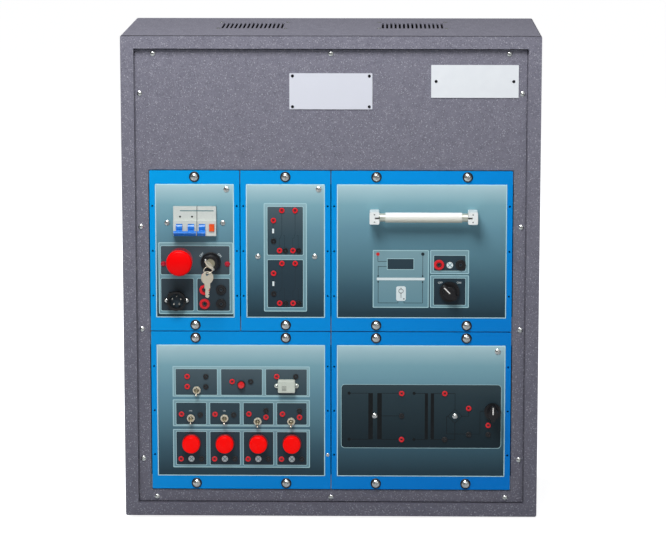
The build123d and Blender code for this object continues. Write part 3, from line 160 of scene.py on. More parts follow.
class Finish(Shader):
    """A material with one glossy surface, and the nodes that vary its colour, sheen and relief."""

    def __init__(self, name, base, roughness=0.5, metallic=0.0, **sockets):
        self.material = bpy.data.materials.new(name)
        self.material.use_nodes = True
        super().__init__(self.material.node_tree)
        self.surface = self.tree.nodes["Principled BSDF"]
        self.paint(base)
        self.set("Roughness", roughness)
        self.set("Metallic", metallic)
        for socket, value in sockets.items():
            self.set(socket.replace("_", " "), value)

    def set(self, socket, value):
        self.join(value, self.surface.inputs[socket])

    def paint(self, base):
        """Give the surface its colour."""
        self.base = base
        self.set("Base Color", base)

    def cover(self, mask, shade):
        """Lay another colour over the surface where a mask is 1."""
        self.paint(self.mix(mask, self.base, shade))

    def place(self, centre=(0.0, 0.0, 0.0)):
        """Object coordinates, counted from a centre."""
        spot = self.node("ShaderNodeTexCoord", output="Object")
        return self.node("ShaderNodeMapping", inputs={"Vector": spot, "Location": -Vector(centre)})

    def axis(self, letter, centre=(0.0, 0.0, 0.0)):
        return self.node("ShaderNodeSeparateXYZ", inputs={0: self.place(centre)}, output=letter)

    def noise(self, size, detail=2.0):
        """Cloudy pattern with spots of about a size in metres."""
        return self.node("ShaderNodeTexNoise", inputs={
            "Vector": self.place(), "Scale": 1 / size, "Detail": detail})

    def steps(self, factor, stops):
        """Colour read from a ramp of (place, colour) stops."""
        return self.node("ShaderNodeValToRGB", {"stops": stops}, {0: factor})

    def relief(self, height, depth, strength=1.0):
        self.set("Normal", self.node("ShaderNodeBump", inputs={
            "Height": height, "Distance": depth, "Strength": strength}))


floor_size = 30.0
floor_glow = 0.92
bm = bmesh.new()
bmesh.ops.create_grid(bm, x_segments=1, y_segments=1, size=floor_size / 2)
floor_mesh = bpy.data.meshes.new("floor")
bm.to_mesh(floor_mesh)
bm.free()
floor = bpy.data.objects.new("floor", floor_mesh)
bpy.context.scene.collection.objects.link(floor)
floor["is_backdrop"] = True
pale = Finish("floor_white", "C4C7C9", 0.9, Emission_Strength=floor_glow)
seen = pale.node("ShaderNodeLightPath", output="Is Camera Ray")
pale.set("Emission Color", pale.mix(seen, "000000", "FFFFFF"))
floor_mesh.materials.append(pale.material)

studio_level = 0.13
world = bpy.data.worlds.new("studio")
bpy.context.scene.world = world
world.use_nodes = True
sky = Shader(world.node_tree)
background = sky.tree.nodes["Background"]
seen = sky.node("ShaderNodeLightPath", output="Is Camera Ray")
sky.join("FFFFFF", background.inputs["Color"])
sky.join(seen * (1 - studio_level) + studio_level, background.inputs["Strength"])


# Three soft boxes: the key stands high in front and lights the head of the cabinet more than its
# foot, the fill stands low on the right, and the rear one lights the back and the left side.
def soft_box(name, spot, aim, size, power, mirrored=True):
    """Square lamp that looks from a spot at an aim. One that isn't mirrored gives no reflection."""
    lamp = bpy.data.lights.new(name, "AREA")
    lamp.shape = "SQUARE"
    lamp.size = size
    lamp.energy = power
    box = bpy.data.objects.new(name, lamp)
    box.location = spot
    box.rotation_euler = (Vector(aim) - Vector(spot)).to_track_quat("-Z", "Y").to_euler()
    box.visible_glossy = mirrored
    bpy.context.scene.collection.objects.link(box)


soft_box("key", (-0.3, -1.35, 2.05), (0.0, 0.0, 0.62), 0.9, 40.0)
soft_box("fill", (1.8, -2.6, 1.6), (0.0, 0.0, 0.6), 1.4, 8.0)
soft_box("rear", (-1.9, 2.3, 1.7), (0.0, 0.15, 0.4), 1.6, 100.0, mirrored=False)


# Case, rear cover and sunk panel: folded steel sheet, screwed together, in grey hammertone enamel
# that dries in small dimples with pits and paler flecks. Painted shade makes it darker towards the
# foot, and a dark line of painted shade runs along the bend at the top of the front.
def dress(finish, *nodes):
    """Give CAD nodes a finish."""
    for node in nodes:
        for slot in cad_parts[node].material_slots:
            slot.material = finish.material


dimple_size = 0.0034
dimple_depth = 0.0006
pit_size = 0.0024
fleck_size = 0.0017
bend_shade_width = 0.0012
painted_shade_per_metre = 0.72
hammered = Finish("grey_hammertone", "7B7A88", 0.42, Specular_IOR_Level=0.45)
dimples = hammered.node("ShaderNodeTexVoronoi", {"feature": "SMOOTH_F1"}, {
    "Vector": hammered.place(), "Scale": 1 / dimple_size, "Smoothness": 0.6})
clouds = hammered.noise(0.012, 3.0)
# Painted shade: the enamel darkens towards the foot of the case.
painted_foot_shade = hammered.axis("Z", cad_high) * -painted_shade_per_metre
pits = hammered.noise(pit_size, 1.0) < 0.36
flecks = hammered.noise(fleck_size, 1.0) > 0.66
from_top = abs(hammered.axis("Z", cad_high))
from_front = abs(hammered.axis("Y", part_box("case_shell")[0]))
# Painted shade: a dark line along the bend at the top of the front.
painted_bend_shade = (from_top < bend_shade_width * 2) * (from_front < bend_shade_width)
hammered.paint(hammered.mix(clouds, "6F6E7C", "878694"))
hammered.cover(painted_foot_shade, "4C4B58")
hammered.cover(pits * 0.4, "50505C")
hammered.cover(flecks * 0.5, "C4C4CE")
hammered.cover(painted_bend_shade * 0.75, "1B1B22")
hammered.set("Roughness", 0.34 + 0.2 * clouds)
hammered.relief(dimples + 0.5 * clouds, dimple_depth, 0.55)
dress(hammered, "case_shell", "rear_cover", "front_panel")

# Feet: round pads moulded in rubber and fixed under the floor of the case. The rubber is matt
# black and slightly dusty.
rubber = Finish("black_rubber", "19191A", 0.85)
rubber.paint(rubber.mix(rubber.noise(0.004, 3.0), "131314", "242425"))
rubber.relief(rubber.noise(0.0008), 0.0002, 0.4)
dress(rubber, "feet")

# Header plates: thin engraving laminate in satin off-white, one a little bluer, screwed to the
# head of the panel. Their faces are bare.
laminate = Finish("pale_laminate", "D8DCE4", 0.38, Coat_Weight=0.15)
right_side = laminate.axis("X") > 0.1
laminate.paint(laminate.mix(right_side, "DDDFEA", "EEF2F6"))
laminate.cover(laminate.noise(0.02) * 0.4, "D6DAE2")
laminate.set("Roughness", 0.3 + 0.16 * laminate.noise(0.003, 3.0))
laminate.relief(laminate.noise(0.0012), 0.00005, 0.3)
dress(laminate, "header_plates")

# Module rails and the body of the output control: folded steel with zinc plating, whose faint
# spangle shows. The rails stand behind the panel and take the screws of the modules.
spangles_per_metre = 90.0
zinc = Finish("zinc_plate", "B4B6B8", 0.35, 1.0)
spangle = zinc.node("ShaderNodeTexVoronoi", inputs={
    "Vector": zinc.place(), "Scale": spangles_per_metre}, output="Color")
grey = zinc.node("ShaderNodeRGBToBW", inputs={0: spangle})
zinc.paint(zinc.mix(grey, "9FA2A5", "C6C8CA"))
zinc.set("Roughness", 0.28 + 0.2 * grey)
dress(zinc, "module_rails", "output_control_body")

# Fans: two axial fans screwed under the vents of the case. Frames and rotors are moulded in black
# glass-filled plastic, with a satin skin.
fan_plastic = Finish("fan_plastic", "1C1C1E", 0.48)
fan_plastic.paint(fan_plastic.mix(fan_plastic.noise(0.006), "151517", "27272A"))
fan_plastic.relief(fan_plastic.noise(0.0006), 0.0001, 0.4)
dress(fan_plastic, "fan_frames", "fan_rotor_left", "fan_rotor_right")

# Module frames: moulded plastic sprayed in bright blue, with painted sheen that pales it to the
# left and above and painted shade that deepens it to the right and below. Each is screwed to the
# rails through its head and its foot.
blue = Finish("module_blue", "0090E4", 0.4, Specular_IOR_Level=0.14)
# Painted sheen and shade: the blue runs from paler at the upper left to deeper at the lower right.
sheen_and_shade_slide = blue.axis("X", cad_low) * 0.9 - blue.axis("Z", cad_high) * 0.75 + 0.04 * blue.noise(0.06)
blue.paint(blue.steps(sheen_and_shade_slide, ((0.1, "00A4EC"), (0.6, "0092E4"), (1.05, "007CD6"))))
blue.set("Roughness", 0.3 + 0.14 * blue.noise(0.004, 3.0))
blue.relief(blue.noise(0.0015), 0.00008, 0.35)
dress(blue, "single_module_frames", "double_module_frames")

# Washers: cups moulded in black nylon, one under the head of each module screw, with a faint
# sheen.
nylon = Finish("black_nylon", "131316", 0.4)
nylon.paint(nylon.mix(nylon.noise(0.003), "0E0E11", "1D1D21"))
nylon.set("Roughness", 0.34 + 0.16 * nylon.noise(0.002))
dress(nylon, "module_washers")


# Screws: bright nickel plated steel with faint turning marks. The small ones, which hold the
# faceplates and the devices, are blackened where they hold the header plates.
def nickel_screws(name):
    """Plated finish of a screw, before its sheen."""
    made = Finish(name, "DDE0DE", metallic=1.0)
    made.paint(made.mix(made.noise(0.002), "C9CCCA", "F0F2F0"))
    made.relief(made.noise(0.0004), 0.00003, 0.4)
    return made


bright = nickel_screws("bright_screw")
bright.set("Roughness", 0.14 + 0.22 * bright.noise(0.0012, 3.0))
dress(bright, "module_screws", "case_screws")
plates_low, plates_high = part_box("header_plates")
small_bright = nickel_screws("small_screw_steel")
height = small_bright.axis("Z")
blackened = (height > plates_low.z) * (height < plates_high.z)
small_bright.cover(blackened, "26262B")
small_bright.set("Roughness", 0.16 + 0.2 * small_bright.noise(0.0012, 3.0) + 0.2 * blackened)
dress(small_bright, "small_screws")


# Faceplates: aluminium sheets screwed on the module frames, with a satin printed film that shades
# from pale at the head to dark slate at the foot, and a thin pale line painted along the edge as
# the highlight on the plate's edge.
def faded(name, module, stops):
    """Printed finish whose colour runs down a faceplate."""
    low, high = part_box(module + "_faceplate")
    film = Finish(name, "6E98A6", 0.4, Specular_IOR_Level=0.25)
    down = film.axis("Z", high) * (-1 / (high.z - low.z))
    film.paint(film.steps(down + 0.012 * film.noise(0.03), stops))
    film.set("Roughness", 0.28 + 0.14 * film.noise(0.005, 3.0))
    film.relief(film.noise(0.0009), 0.00004, 0.3)
    return film


edge_highlight_width = 0.0014
film_stops = ((0.0, "B9D8DF"), (0.06, "A3C6CF"), (0.16, "80ADBA"), (0.34, "6A96A7"),
              (0.56, "57808F"), (0.78, "3C5D6C"), (0.97, "263E4A"))
for module in ("supply", "relay", "fluorescent", "lighting", "power"):
    node = module + "_faceplate"
    low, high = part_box(node)
    middle = (low + high) / 2
    half = (high - low) / 2
    film = faded(node + "_film", module, film_stops)
    near_side = abs(film.axis("X", middle)) > half.x - edge_highlight_width
    near_end = abs(film.axis("Z", middle)) > half.z - edge_highlight_width
    # Painted highlight: a thin pale line along the edge of the faceplate.
    film.cover(film.maths("MAXIMUM", near_side, near_end), "C4ECF5")
    dress(film, node)


# Printed diagrams: thin layers of ink on the faceplates, slate fields and pale lines on filled
# teal boxes. Their shapes are in millimetres from the middle of the faceplate.
def piece(name, mesh, finish, body="cabinet"):
    """Hang a finished mesh on a body, with its finish."""
    made = bpy.data.objects.new(name, mesh)
    mesh.materials.append(finish.material)
    bpy.context.scene.collection.objects.link(made)
    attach(made, body)


def plate_matrix(module, rise=0.0):
    """Takes millimetres across, up and out from the middle of a faceplate into the scene."""
    low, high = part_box(module + "_faceplate")
    return Matrix(((0.001, 0.0, 0.0, (low.x + high.x) / 2),
                   (0.0, 0.0, -0.001, low.y - rise / 1000),
                   (0.0, 0.001, 0.0, (low.z + high.z) / 2),
                   (0.0, 0.0, 0.0, 1.0)))


class Layer:
    """One layer of one ink on a faceplate."""

    def __init__(self):
        self.bm = bmesh.new()

    def panel(self, left, top, right, foot, corner=0.0):
        """Filled rectangle with round corners."""
        middle = Matrix.Translation(((left + right) / 2, (top + foot) / 2, 0.0))
        size = Matrix.Diagonal((right - left, top - foot, 1.0, 1.0))
        made = bmesh.ops.create_grid(self.bm, x_segments=1, y_segments=1, size=0.5,
                                     matrix=middle @ size)
        if corner:
            bmesh.ops.bevel(self.bm, geom=made["verts"], offset=corner, affect="VERTICES",
                            segments=5, profile=0.5, material=-1)

    def border(self, left, top, right, foot, width, corner=0.0):
        """Outline of a rectangle."""
        known = set(self.bm.faces)
        self.panel(left, top, right, foot, corner)
        inside = [face for face in self.bm.faces if face not in known]
        bmesh.ops.inset_region(self.bm, faces=inside, thickness=width, use_boundary=True,
                               use_even_offset=True)
        bmesh.ops.delete(self.bm, geom=inside, context="FACES")

    def line(self, width, *points):
        """Strip along straight runs, mitred at its turns."""
        spots = [Vector(point) for point in points]
        runs = [(end - start).normalized() for start, end in zip(spots, spots[1:])]
        rails = []
        for spot, before, after in zip(spots, runs[:1] + runs, runs + runs[-1:]):
            mitre = Vector((-before.y - after.y, before.x + after.x)) / (1 + before.dot(after))
            rails.append([self.bm.verts.new((spot + side * width / 2 * mitre).to_3d())
                          for side in (-1, 1)])
        for (right, left), (next_right, next_left) in zip(rails, rails[1:]):
            self.bm.faces.new((right, next_right, next_left, left))

    def disc(self, x, z, radius):
        bmesh.ops.create_circle(self.bm, cap_ends=True, segments=36, radius=radius,
                                matrix=Matrix.Translation((x, z, 0.0)))

    def ring(self, x, z, radius, width):
        ends = [self.bm.verts.new((x + radius + side * width / 2, z, 0.0)) for side in (-1, 1)]
        edge = self.bm.edges.new(ends)
        bmesh.ops.spin(self.bm, geom=[*ends, edge], cent=(x, z, 0.0), axis=(0.0, 0.0, 1.0),
                       angle=2 * pi, steps=40, use_merge=True)

    def lay(self, name, module, finish, rise, level=0.0, body="cabinet"):
        """Give the layer its thickness and hang it at a level above its faceplate."""
        bmesh.ops.remove_doubles(self.bm, verts=self.bm.verts, dist=0.0005)
        made = bmesh.ops.extrude_face_region(self.bm, geom=list(self.bm.faces))
        raised = [part for part in made["geom"] if isinstance(part, bmesh.types.BMVert)]
        bmesh.ops.translate(self.bm, verts=raised, vec=(0.0, 0.0, rise))
        bmesh.ops.recalc_face_normals(self.bm, faces=self.bm.faces)
        self.bm.transform(plate_matrix(module, level))
        mesh = bpy.data.meshes.new(name)
        self.bm.to_mesh(mesh)
        self.bm.free()
        piece(name, mesh, finish, body)


def printed(name, digits, spread=0.12):
    """Ink of one colour, a little uneven."""
    made = Finish(name, digits, Specular_IOR_Level=0.25)
    made.cover(made.noise(0.004, 3.0) * spread, "9FB4BC")
    made.set("Roughness", 0.29 + 0.12 * made.noise(0.003, 3.0))
    made.relief(made.noise(0.0008), 0.00003, 0.3)
    return made


fill_rise = 0.04
slate_rise = 0.08
mark_rise = 0.12
top_rise = 0.15
field_line = 0.9
box_line = 1.4
teal_stops = ((0.1, "9BBFC8"), (0.35, "86A8B1"), (0.6, "7CA0AB"), (0.9, "6C94A1"))
slate_stops = ((0.1, "56666E"), (0.4, "364A54"), (0.7, "2A3C47"), (0.95, "24343F"))
pale_ink = printed("pale_ink", "ACD3DA")
white_ink = printed("white_ink", "E4EFF1")
dark_ink = printed("dark_ink", "16242C", 0.06)


def lettering(name, word, module, x, z, height, turn=0.0):
    """A word printed on a faceplate, its capitals of a height in millimetres."""
    capital_share = 0.7
    half_thickness = 0.01
    curve = bpy.data.curves.new(name, "FONT")
    curve.body = word
    curve.align_x = "CENTER"
    curve.align_y = "CENTER"
    curve.size = height / capital_share
    curve.extrude = half_thickness
    curve.resolution_u = 4
    holder = bpy.data.objects.new(name, curve)
    mesh = bpy.data.meshes.new_from_object(holder)
    bpy.data.objects.remove(holder)
    bpy.data.curves.remove(curve)
    mesh.transform(plate_matrix(module, mark_rise) @ Matrix.Translation((x, z, 0.0))
                   @ Matrix.Rotation(radians(turn), 4, "Z"))
    piece(name, mesh, white_ink)


# Print of the supply module: a box with a slate field round the stop button and the lock, and two
# fields below it round the inlet and the outlets. A faded red ring lies behind the stop button,
# and the words for the lock's two positions stand round the lock.
supply_box = (-56.1, 13.6, 58.9, -98.5)
supply_fields = ((-53.4, 8.8, 54.3, -37.5), (-53.4, -42.0, -1.6, -94.2),
                 (2.5, -42.0, 54.2, -94.2))
fill_corner = 1.5
box_line_corner = 2.0
supply_field_corner = 3.0
supply_slate = ((0.1, "66727A"), (0.4, "4E5C65"), (0.7, "3C4A53"), (0.95, "2E3B44"))
stop_spot = (-22.5, -14.0)
stop_ring_radius = 17.6
stop_ring_width = 3.2
fill = Layer()
slate = Layer()
lines = Layer()
ring = Layer()
fill.panel(*supply_box, fill_corner)
lines.border(*supply_box, box_line, box_line_corner)
for field in supply_fields:
    slate.panel(*field, supply_field_corner)
    lines.border(*field, field_line, supply_field_corner)
ring.ring(*stop_spot, stop_ring_radius, stop_ring_width)
fill.lay("supply_teal_field", "supply", faded("supply_teal_ink", "supply", teal_stops), fill_rise)
slate.lay("supply_slate_fields", "supply", faded("supply_slate_ink", "supply", supply_slate),
          slate_rise)
lines.lay("supply_pale_lines", "supply", pale_ink, mark_rise)
ring.lay("stop_ring_print", "supply", printed("faded_red_ink", "9A2F3E"), mark_rise)
lettering("lock_off_word", "OFF", "supply", 10.3, -5.9, 3.2, 45.0)
lettering("lock_on_word", "ON", "supply", 38.3, -6.4, 3.2, -45.0)

# Print of the relay module: one box with two slate fields, each with a relay's white coil and the
# dark lines from the coil and its two changeover contacts to the sockets.
relay_box = (-33.4, 75.0, 32.8, -94.1)
relay_fields = ((-28.6, 70.1, 27.8, -6.5), (-28.6, -12.5, 27.8, -88.4))
relay_box_corner = 2.0
relay_field_corner = 2.5
relay_drop = 82.3
wire_width = 0.5
coil_x, coil_half = -19.0, 1.5
coil_top, coil_foot = 35.2, 28.2
feed_top, feed_foot = 46.0, 18.0
common_z, socket_z = 60.0, 4.0
contact_z, blade_z, stud_z = 20.6, 27.7, 24.6
fill = Layer()
slate = Layer()
lines = Layer()
coil = Layer()
wires = Layer()
fill.panel(*relay_box, relay_box_corner)
lines.border(*relay_box, box_line, relay_box_corner)
for field in relay_fields:
    slate.panel(*field, relay_field_corner)
    lines.border(*field, field_line, relay_field_corner)
for drop in (0.0, relay_drop):
    coil.panel(coil_x - coil_half, coil_top - drop, coil_x + coil_half, coil_foot - drop)
    wires.line(wire_width, (coil_x, feed_top - drop), (coil_x, coil_top - drop))
    wires.line(wire_width, (coil_x, coil_foot - drop), (coil_x, feed_foot - drop))
    for common, resting, working in ((-5.6, -9.5, -1.6), (14.8, 11.1, 19.5)):
        wires.line(wire_width, (common, common_z - drop), (common, blade_z - drop),
                   (resting + 1.6, contact_z - drop))
        wires.line(wire_width, (resting, socket_z - drop), (resting, contact_z - drop),
                   (resting + 1.9, contact_z - drop))
        wires.line(wire_width, (working, socket_z - drop), (working, stud_z - drop),
                   (working - 2.2, stud_z - drop))
fill.lay("relay_teal_field", "relay", faded("relay_teal_ink", "relay", teal_stops), fill_rise)
slate.lay("relay_slate_fields", "relay", faded("relay_slate_ink", "relay", slate_stops),
          slate_rise)
lines.lay("relay_pale_lines", "relay", pale_ink, mark_rise)
coil.lay("relay_coil_marks", "relay", white_ink, mark_rise)
wires.lay("relay_wire_lines", "relay", dark_ink, mark_rise)


# Print of the fluorescent lamp module: the ballast circuit in a box on the left, with its
# terminals and the starter, and the lamp's sockets and switch in two boxes on the right. The sign
# for a lamp stands between the sockets, and the switch has a word at each position.
def lamp_sign(discs, crosses, x, z, radius):
    """Pale disc with a cross in it, the drawing sign for a lamp."""
    reach = radius * 0.62
    width = 0.9
    half = width / 2
    discs.disc(x, z, radius)
    crosses.line(width, (x - reach, z - reach), (x + reach, z + reach))
    crosses.line(width, (x - reach, z + reach), (x - half, z + half))
    crosses.line(width, (x + half, z - half), (x + reach, z - reach))


lamp_boxes = ((-75.1, 2.5, 11.0, -87.6), (13.1, 2.7, 72.8, -34.5), (13.1, -36.6, 72.8, -87.4))
lamp_fields = ((17.9, -5.0, 68.3, -30.4), (17.9, -40.6, 68.3, -83.9))
lamp_box_corner = 1.5
lamp_field_corner = 2.0
ballast_field = (-52.6, -11.2, -12.4, -27.5)
ballast_outline = (-53.4, -10.4, -11.6, -28.3)
tube_bar = (-69.0, -40.6, 4.6, -44.6)
starter_box = (-39.0, -53.9, -24.2, -76.9)
starter_corner = 3.0
starter_x = -31.6
circuit_width = 0.7
terminal_radius = 2.6
joint_radius = 1.3
live_spot = (-67.3, -3.9)
dark_spot = (1.7, -3.7)
joints = ((-66.8, -38.1), (1.6, -38.1), (-66.8, -47.2), (1.6, -47.2))
fill = Layer()
slate = Layer()
lines = Layer()
bars = Layer()
wires = Layer()
live = Layer()
dark = Layer()
discs = Layer()
crosses = Layer()
for box in lamp_boxes:
    fill.panel(*box, lamp_box_corner)
    lines.border(*box, box_line, lamp_box_corner)
for field in lamp_fields:
    slate.panel(*field, lamp_field_corner)
    lines.border(*field, field_line, lamp_field_corner)
slate.panel(*ballast_field)
lines.border(*ballast_outline, field_line)
bars.panel(*tube_bar)
bars.panel(*starter_box, starter_corner)
wires.line(circuit_width, live_spot, (-67.3, -15.2), (-53.6, -15.2))
wires.line(circuit_width, (-53.6, -23.1), (-66.8, -23.1), joints[0])
wires.line(circuit_width, dark_spot, (1.7, -38.1))
wires.line(circuit_width, joints[2], (-66.8, -80.1), (-36.2, -80.1), (-36.2, -77.0))
wires.line(circuit_width, joints[3], (1.6, -80.1), (-27.0, -80.1), (-27.0, -77.0))
for spot in joints:
    wires.disc(*spot, joint_radius)
live.disc(*live_spot, terminal_radius)
dark.disc(*dark_spot, terminal_radius)
dark.ring(starter_x, -61.5, 3.4, circuit_width)
dark.line(circuit_width, (starter_x, -56.0), (starter_x, -60.0))
dark.line(circuit_width, (starter_x, -63.0), (starter_x, -72.0))
dark.disc(-27.1, -73.7, 1.1)
lamp_sign(discs, crosses, 43.3, -20.9, 5.0)
fill.lay("lamp_teal_boxes", "fluorescent",
         faded("fluorescent_teal_ink", "fluorescent", teal_stops), fill_rise)
slate.lay("lamp_slate_fields", "fluorescent",
          faded("fluorescent_slate_ink", "fluorescent", slate_stops), slate_rise)
lines.lay("lamp_pale_lines", "fluorescent", pale_ink, mark_rise)
bars.lay("lamp_white_bar", "fluorescent", white_ink, mark_rise)
wires.lay("lamp_circuit_lines", "fluorescent", dark_ink, slate_rise)
live.lay("lamp_live_terminal", "fluorescent", printed("red_ink", "D8201C", 0.05), mark_rise)
dark.lay("lamp_dark_terminal", "fluorescent", dark_ink, top_rise)
discs.lay("tube_sign_disc", "fluorescent", white_ink, mark_rise)
teal_ink = printed("teal_ink", "5E8E9C", 0.08)
crosses.lay("tube_sign_cross", "fluorescent", teal_ink, top_rise)
lettering("lamp_off_word", "OFF", "fluorescent", 28.9, -48.3, 3.0)
lettering("lamp_on_word", "ON", "fluorescent", 57.6, -48.2, 3.0)

# Print of the lighting module: three filled boxes, the first with three slate fields and the
# others with four, one to each bay. A lamp sign stands under each pilot lamp, and a word over
# each of the first two toggle switches.
bay_pitch = 52.1
bays = [0.6 + bay_pitch * (place - 1.5) for place in range(4)]
row_left, row_right = -106.0, 106.7
row_ends = ((70.4, 22.0), (17.5, -25.1), (-29.7, -90.7))
row_corner = 1.0
wide_fields = ((-102.1, -36.1), (-31.6, 33.6), (37.8, 103.0))
bay_fields = ((-101.7, -53.4), (-49.1, -1.1), (2.9, 50.7), (54.8, 102.7))
field_rows = ((66.6, 23.9, wide_fields), (13.2, -22.9, bay_fields), (-32.9, -87.2, bay_fields))
bay_corner = 2.0
fill = Layer()
slate = Layer()
lines = Layer()
discs = Layer()
crosses = Layer()
for top, foot in row_ends:
    fill.panel(row_left, top, row_right, foot, row_corner)
    lines.border(row_left, top, row_right, foot, box_line, row_corner)
for top, foot, fields in field_rows:
    for left, right in fields:
        slate.panel(left, top, right, foot, bay_corner)
        lines.border(left, top, right, foot, field_line, bay_corner)
for bay in bays:
    lamp_sign(discs, crosses, bay - 0.2, -76.9, 4.8)
fill.lay("lighting_teal_boxes", "lighting", faded("lighting_teal_ink", "lighting", teal_stops),
         fill_rise)
slate.lay("lighting_slate_fields", "lighting", faded("lighting_slate_ink", "lighting", slate_stops),
          slate_rise)
lines.lay("lighting_pale_lines", "lighting", pale_ink, mark_rise)
for number, bay in enumerate(bays[:2], 1):
    lettering(f"toggle_on_word_{number}", "ON", "lighting", bay - 0.8, -0.6, 1.9)
discs.lay("pilot_sign_discs", "lighting", white_ink, mark_rise)
crosses.lay("pilot_sign_crosses", "lighting", teal_ink, top_rise)

# Print of the power supply module: a slate field with the windings of two transformers, their
# terminals, and the rectifier with its lines to the output control. The windings, terminals and
# lines are printed in black.
power_field = (-123.9, 42.7, 124.7, -58.8)
power_corner = 6.0
power_slate = ((0.1, "46555B"), (0.4, "2A3C44"), (0.7, "192A32"), (0.95, "12222A"))
winding_top, winding_foot = 28.7, -44.8
line_top, line_tap, line_foot = 28.5, -7.4, -44.7
first_end, second_end = -60.7, 20.3
terminal_dot = 2.4
bridge_x, bridge_z, bridge_reach = 52.8, -7.6, 11.0
bridge_line = 0.8
right, left = (bridge_x + bridge_reach, bridge_z), (bridge_x - bridge_reach, bridge_z)
above, below = (bridge_x, bridge_z + bridge_reach), (bridge_x, bridge_z - bridge_reach)
slate = Layer()
lines = Layer()
windings = Layer()
wires = Layer()
terminals = Layer()
slate.panel(*power_field, power_corner)
lines.border(*power_field, circuit_width, power_corner)
for near, far in ((-81.5, -74.5), (-67.7, first_end), (6.1, 10.8), (15.2, second_end)):
    windings.panel(near, winding_top, far, winding_foot)
for feed, near in ((-111.4, -81.5), (-10.7, 6.1)):
    for z in (line_top, line_foot):
        terminals.disc(feed, z, terminal_dot)
        wires.line(circuit_width, (feed, z), (near, z))
for z in (line_top, line_tap, line_foot):
    wires.line(circuit_width, (first_end, z), (-29.9, z))
wires.line(circuit_width, (second_end, line_top), (bridge_x, line_top), above)
wires.line(circuit_width, (second_end, line_foot), (bridge_x, line_foot), below)
wires.line(circuit_width, left, (40.0, bridge_z), (40.0, -35.8), (91.6, -35.8), (91.6, 0.5),
           (100.0, 0.5))
wires.line(circuit_width, right, (74.0, bridge_z), (74.0, 4.9))
for start, end in ((right, above), (above, left), (left, below), (below, right)):
    windings.line(bridge_line, start, end)
slate.lay("power_slate_field", "power", faded("power_slate_ink", "power", power_slate), slate_rise)
lines.lay("power_pale_line", "power", pale_ink, mark_rise)
black_ink = printed("black_ink", "05070A", 0.02)
windings.lay("power_winding_bars", "power", black_ink, top_rise)
wires.lay("power_circuit_lines", "power", black_ink, mark_rise)
terminals.lay("power_terminals", "power", black_ink, top_rise)


# Circuit breaker and residual current block: two bodies moulded in pale grey plastic and clipped
# side by side on a rail. A dark joint shows between them and between the breaker's poles, and a
# teal line and two small windows across the head.
def clouded(name, first, second, roughness, size=0.003, metallic=0.0, depth=0.00004, **sockets):
    """Finish that drifts between two near colours, with a fine moulded or cast grain."""
    made = Finish(name, first, metallic=metallic, **sockets)
    drift = made.noise(size, 3.0)
    made.paint(made.mix(drift, first, second))
    made.set("Roughness", roughness - 0.06 + 0.12 * drift)
    made.relief(made.noise(size / 4), depth, 0.35)
    return made


breaker_rise = 6.0
breaker_print = 0.06
head_line_z, head_line_width = 63.6, 1.3
window_z, window_radius = 54.5, 1.5
joint_width = 0.0005
pole_joint_share = 0.4
moulding = clouded("pale_moulding", "CBD1CC", "DBE0DC", 0.45)
low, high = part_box("breaker_body")
at_joint = abs(moulding.axis("X", high)) < joint_width
at_pole = abs(moulding.axis("X", (low + high) / 2)) < joint_width
low_down = moulding.axis("Z", low) < (high.z - low.z) * pole_joint_share
moulding.cover(moulding.maths("MAXIMUM", at_joint, at_pole * low_down) * 0.92, "141A1E")
dress(moulding, "breaker_body", "leakage_block")
head_line = Layer()
windows = Layer()
head_line.line(head_line_width, (-21.8, head_line_z), (29.6, head_line_z))
for x in (-21.9, -3.5):
    windows.disc(x, window_z, window_radius)
head_line.lay("breaker_teal_line", "supply", printed("deep_teal_ink", "2F7078", 0.06),
              breaker_print, breaker_rise)
windows.lay("breaker_windows", "supply", black_ink, breaker_print, breaker_rise)

# Levers and test button: glossy plastic, moulded in blue for the double lever and the one linked
# to it, and in orange for the sprung button beside them.
dress(clouded("lever_blue", "0A69D0", "1F86E8", 0.26, Coat_Weight=0.1), "breaker_handle",
      "leakage_handle")
dress(clouded("button_orange", "EE4210", "FF6A2C", 0.3, Coat_Weight=0.1), "test_button")

# Emergency stop: a red mushroom head, turned from solid plastic, on a black stem in a black
# collar that clamps through the faceplate. The bodies of the other switches are as black.
dress(clouded("signal_red", "FF0104", "FF060A", 0.34, 0.012, Specular_IOR_Level=0.12), "estop_head")
dress(clouded("satin_black", "111113", "212124", 0.42), "estop_base", "estop_stem",
      "key_switch_body", "rotary_switch_body", "push_button_body")


# Key switch: a black barrel with a bright lock core in its middle and a white dot that points to
# the chosen word. The keys are plain nickel plated blanks on a thin ring.
def distance(across, up):
    return (across ** 2.0 + up ** 2.0) ** 0.5


core_radius = 0.0071
lock_spot = (24.5, -17.0)
dot_reach = 9.3
dot_radius = 1.2
dot_rise = 0.1
dot_turn = radians(142.0)
barrel_rise = 14.0
barrel = Finish("lock_barrel", "121214")
low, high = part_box("key_barrel")
lock_axis = (low + high) / 2
core = distance(barrel.axis("X", lock_axis), barrel.axis("Z", lock_axis)) < core_radius
grain = barrel.noise(0.0012, 3.0)
barrel.paint(barrel.mix(grain, "0F0F11", "1F1F22"))
barrel.cover(core, "CFC9B4")
barrel.set("Metallic", core)
barrel.set("Roughness", 0.3 + 0.14 * grain)
barrel.relief(barrel.noise(0.0006), 0.00004, 0.3)
dress(barrel, "key_barrel")
dot = Layer()
dot.disc(lock_spot[0] + dot_reach * cos(dot_turn), lock_spot[1] + dot_reach * sin(dot_turn),
         dot_radius)
dot.lay("lock_dot", "supply", printed("dot_white", "F6F8F8", 0.04), dot_rise, barrel_rise,
        "lock_barrel")
dress(clouded("key_nickel", "E6DCC4", "F6EEDC", 0.32, 0.0025, 0.4, 0.00003), "supply_key",
      "spare_key", "key_ring")

# Indicator diodes: small domes moulded in clear red plastic, pushed into the faceplate at both
# ends of the upper field.
dress(clouded("diode_red", "A81026", "C9203A", 0.16, 0.002, Coat_Weight=0.3), "supply_lamps")
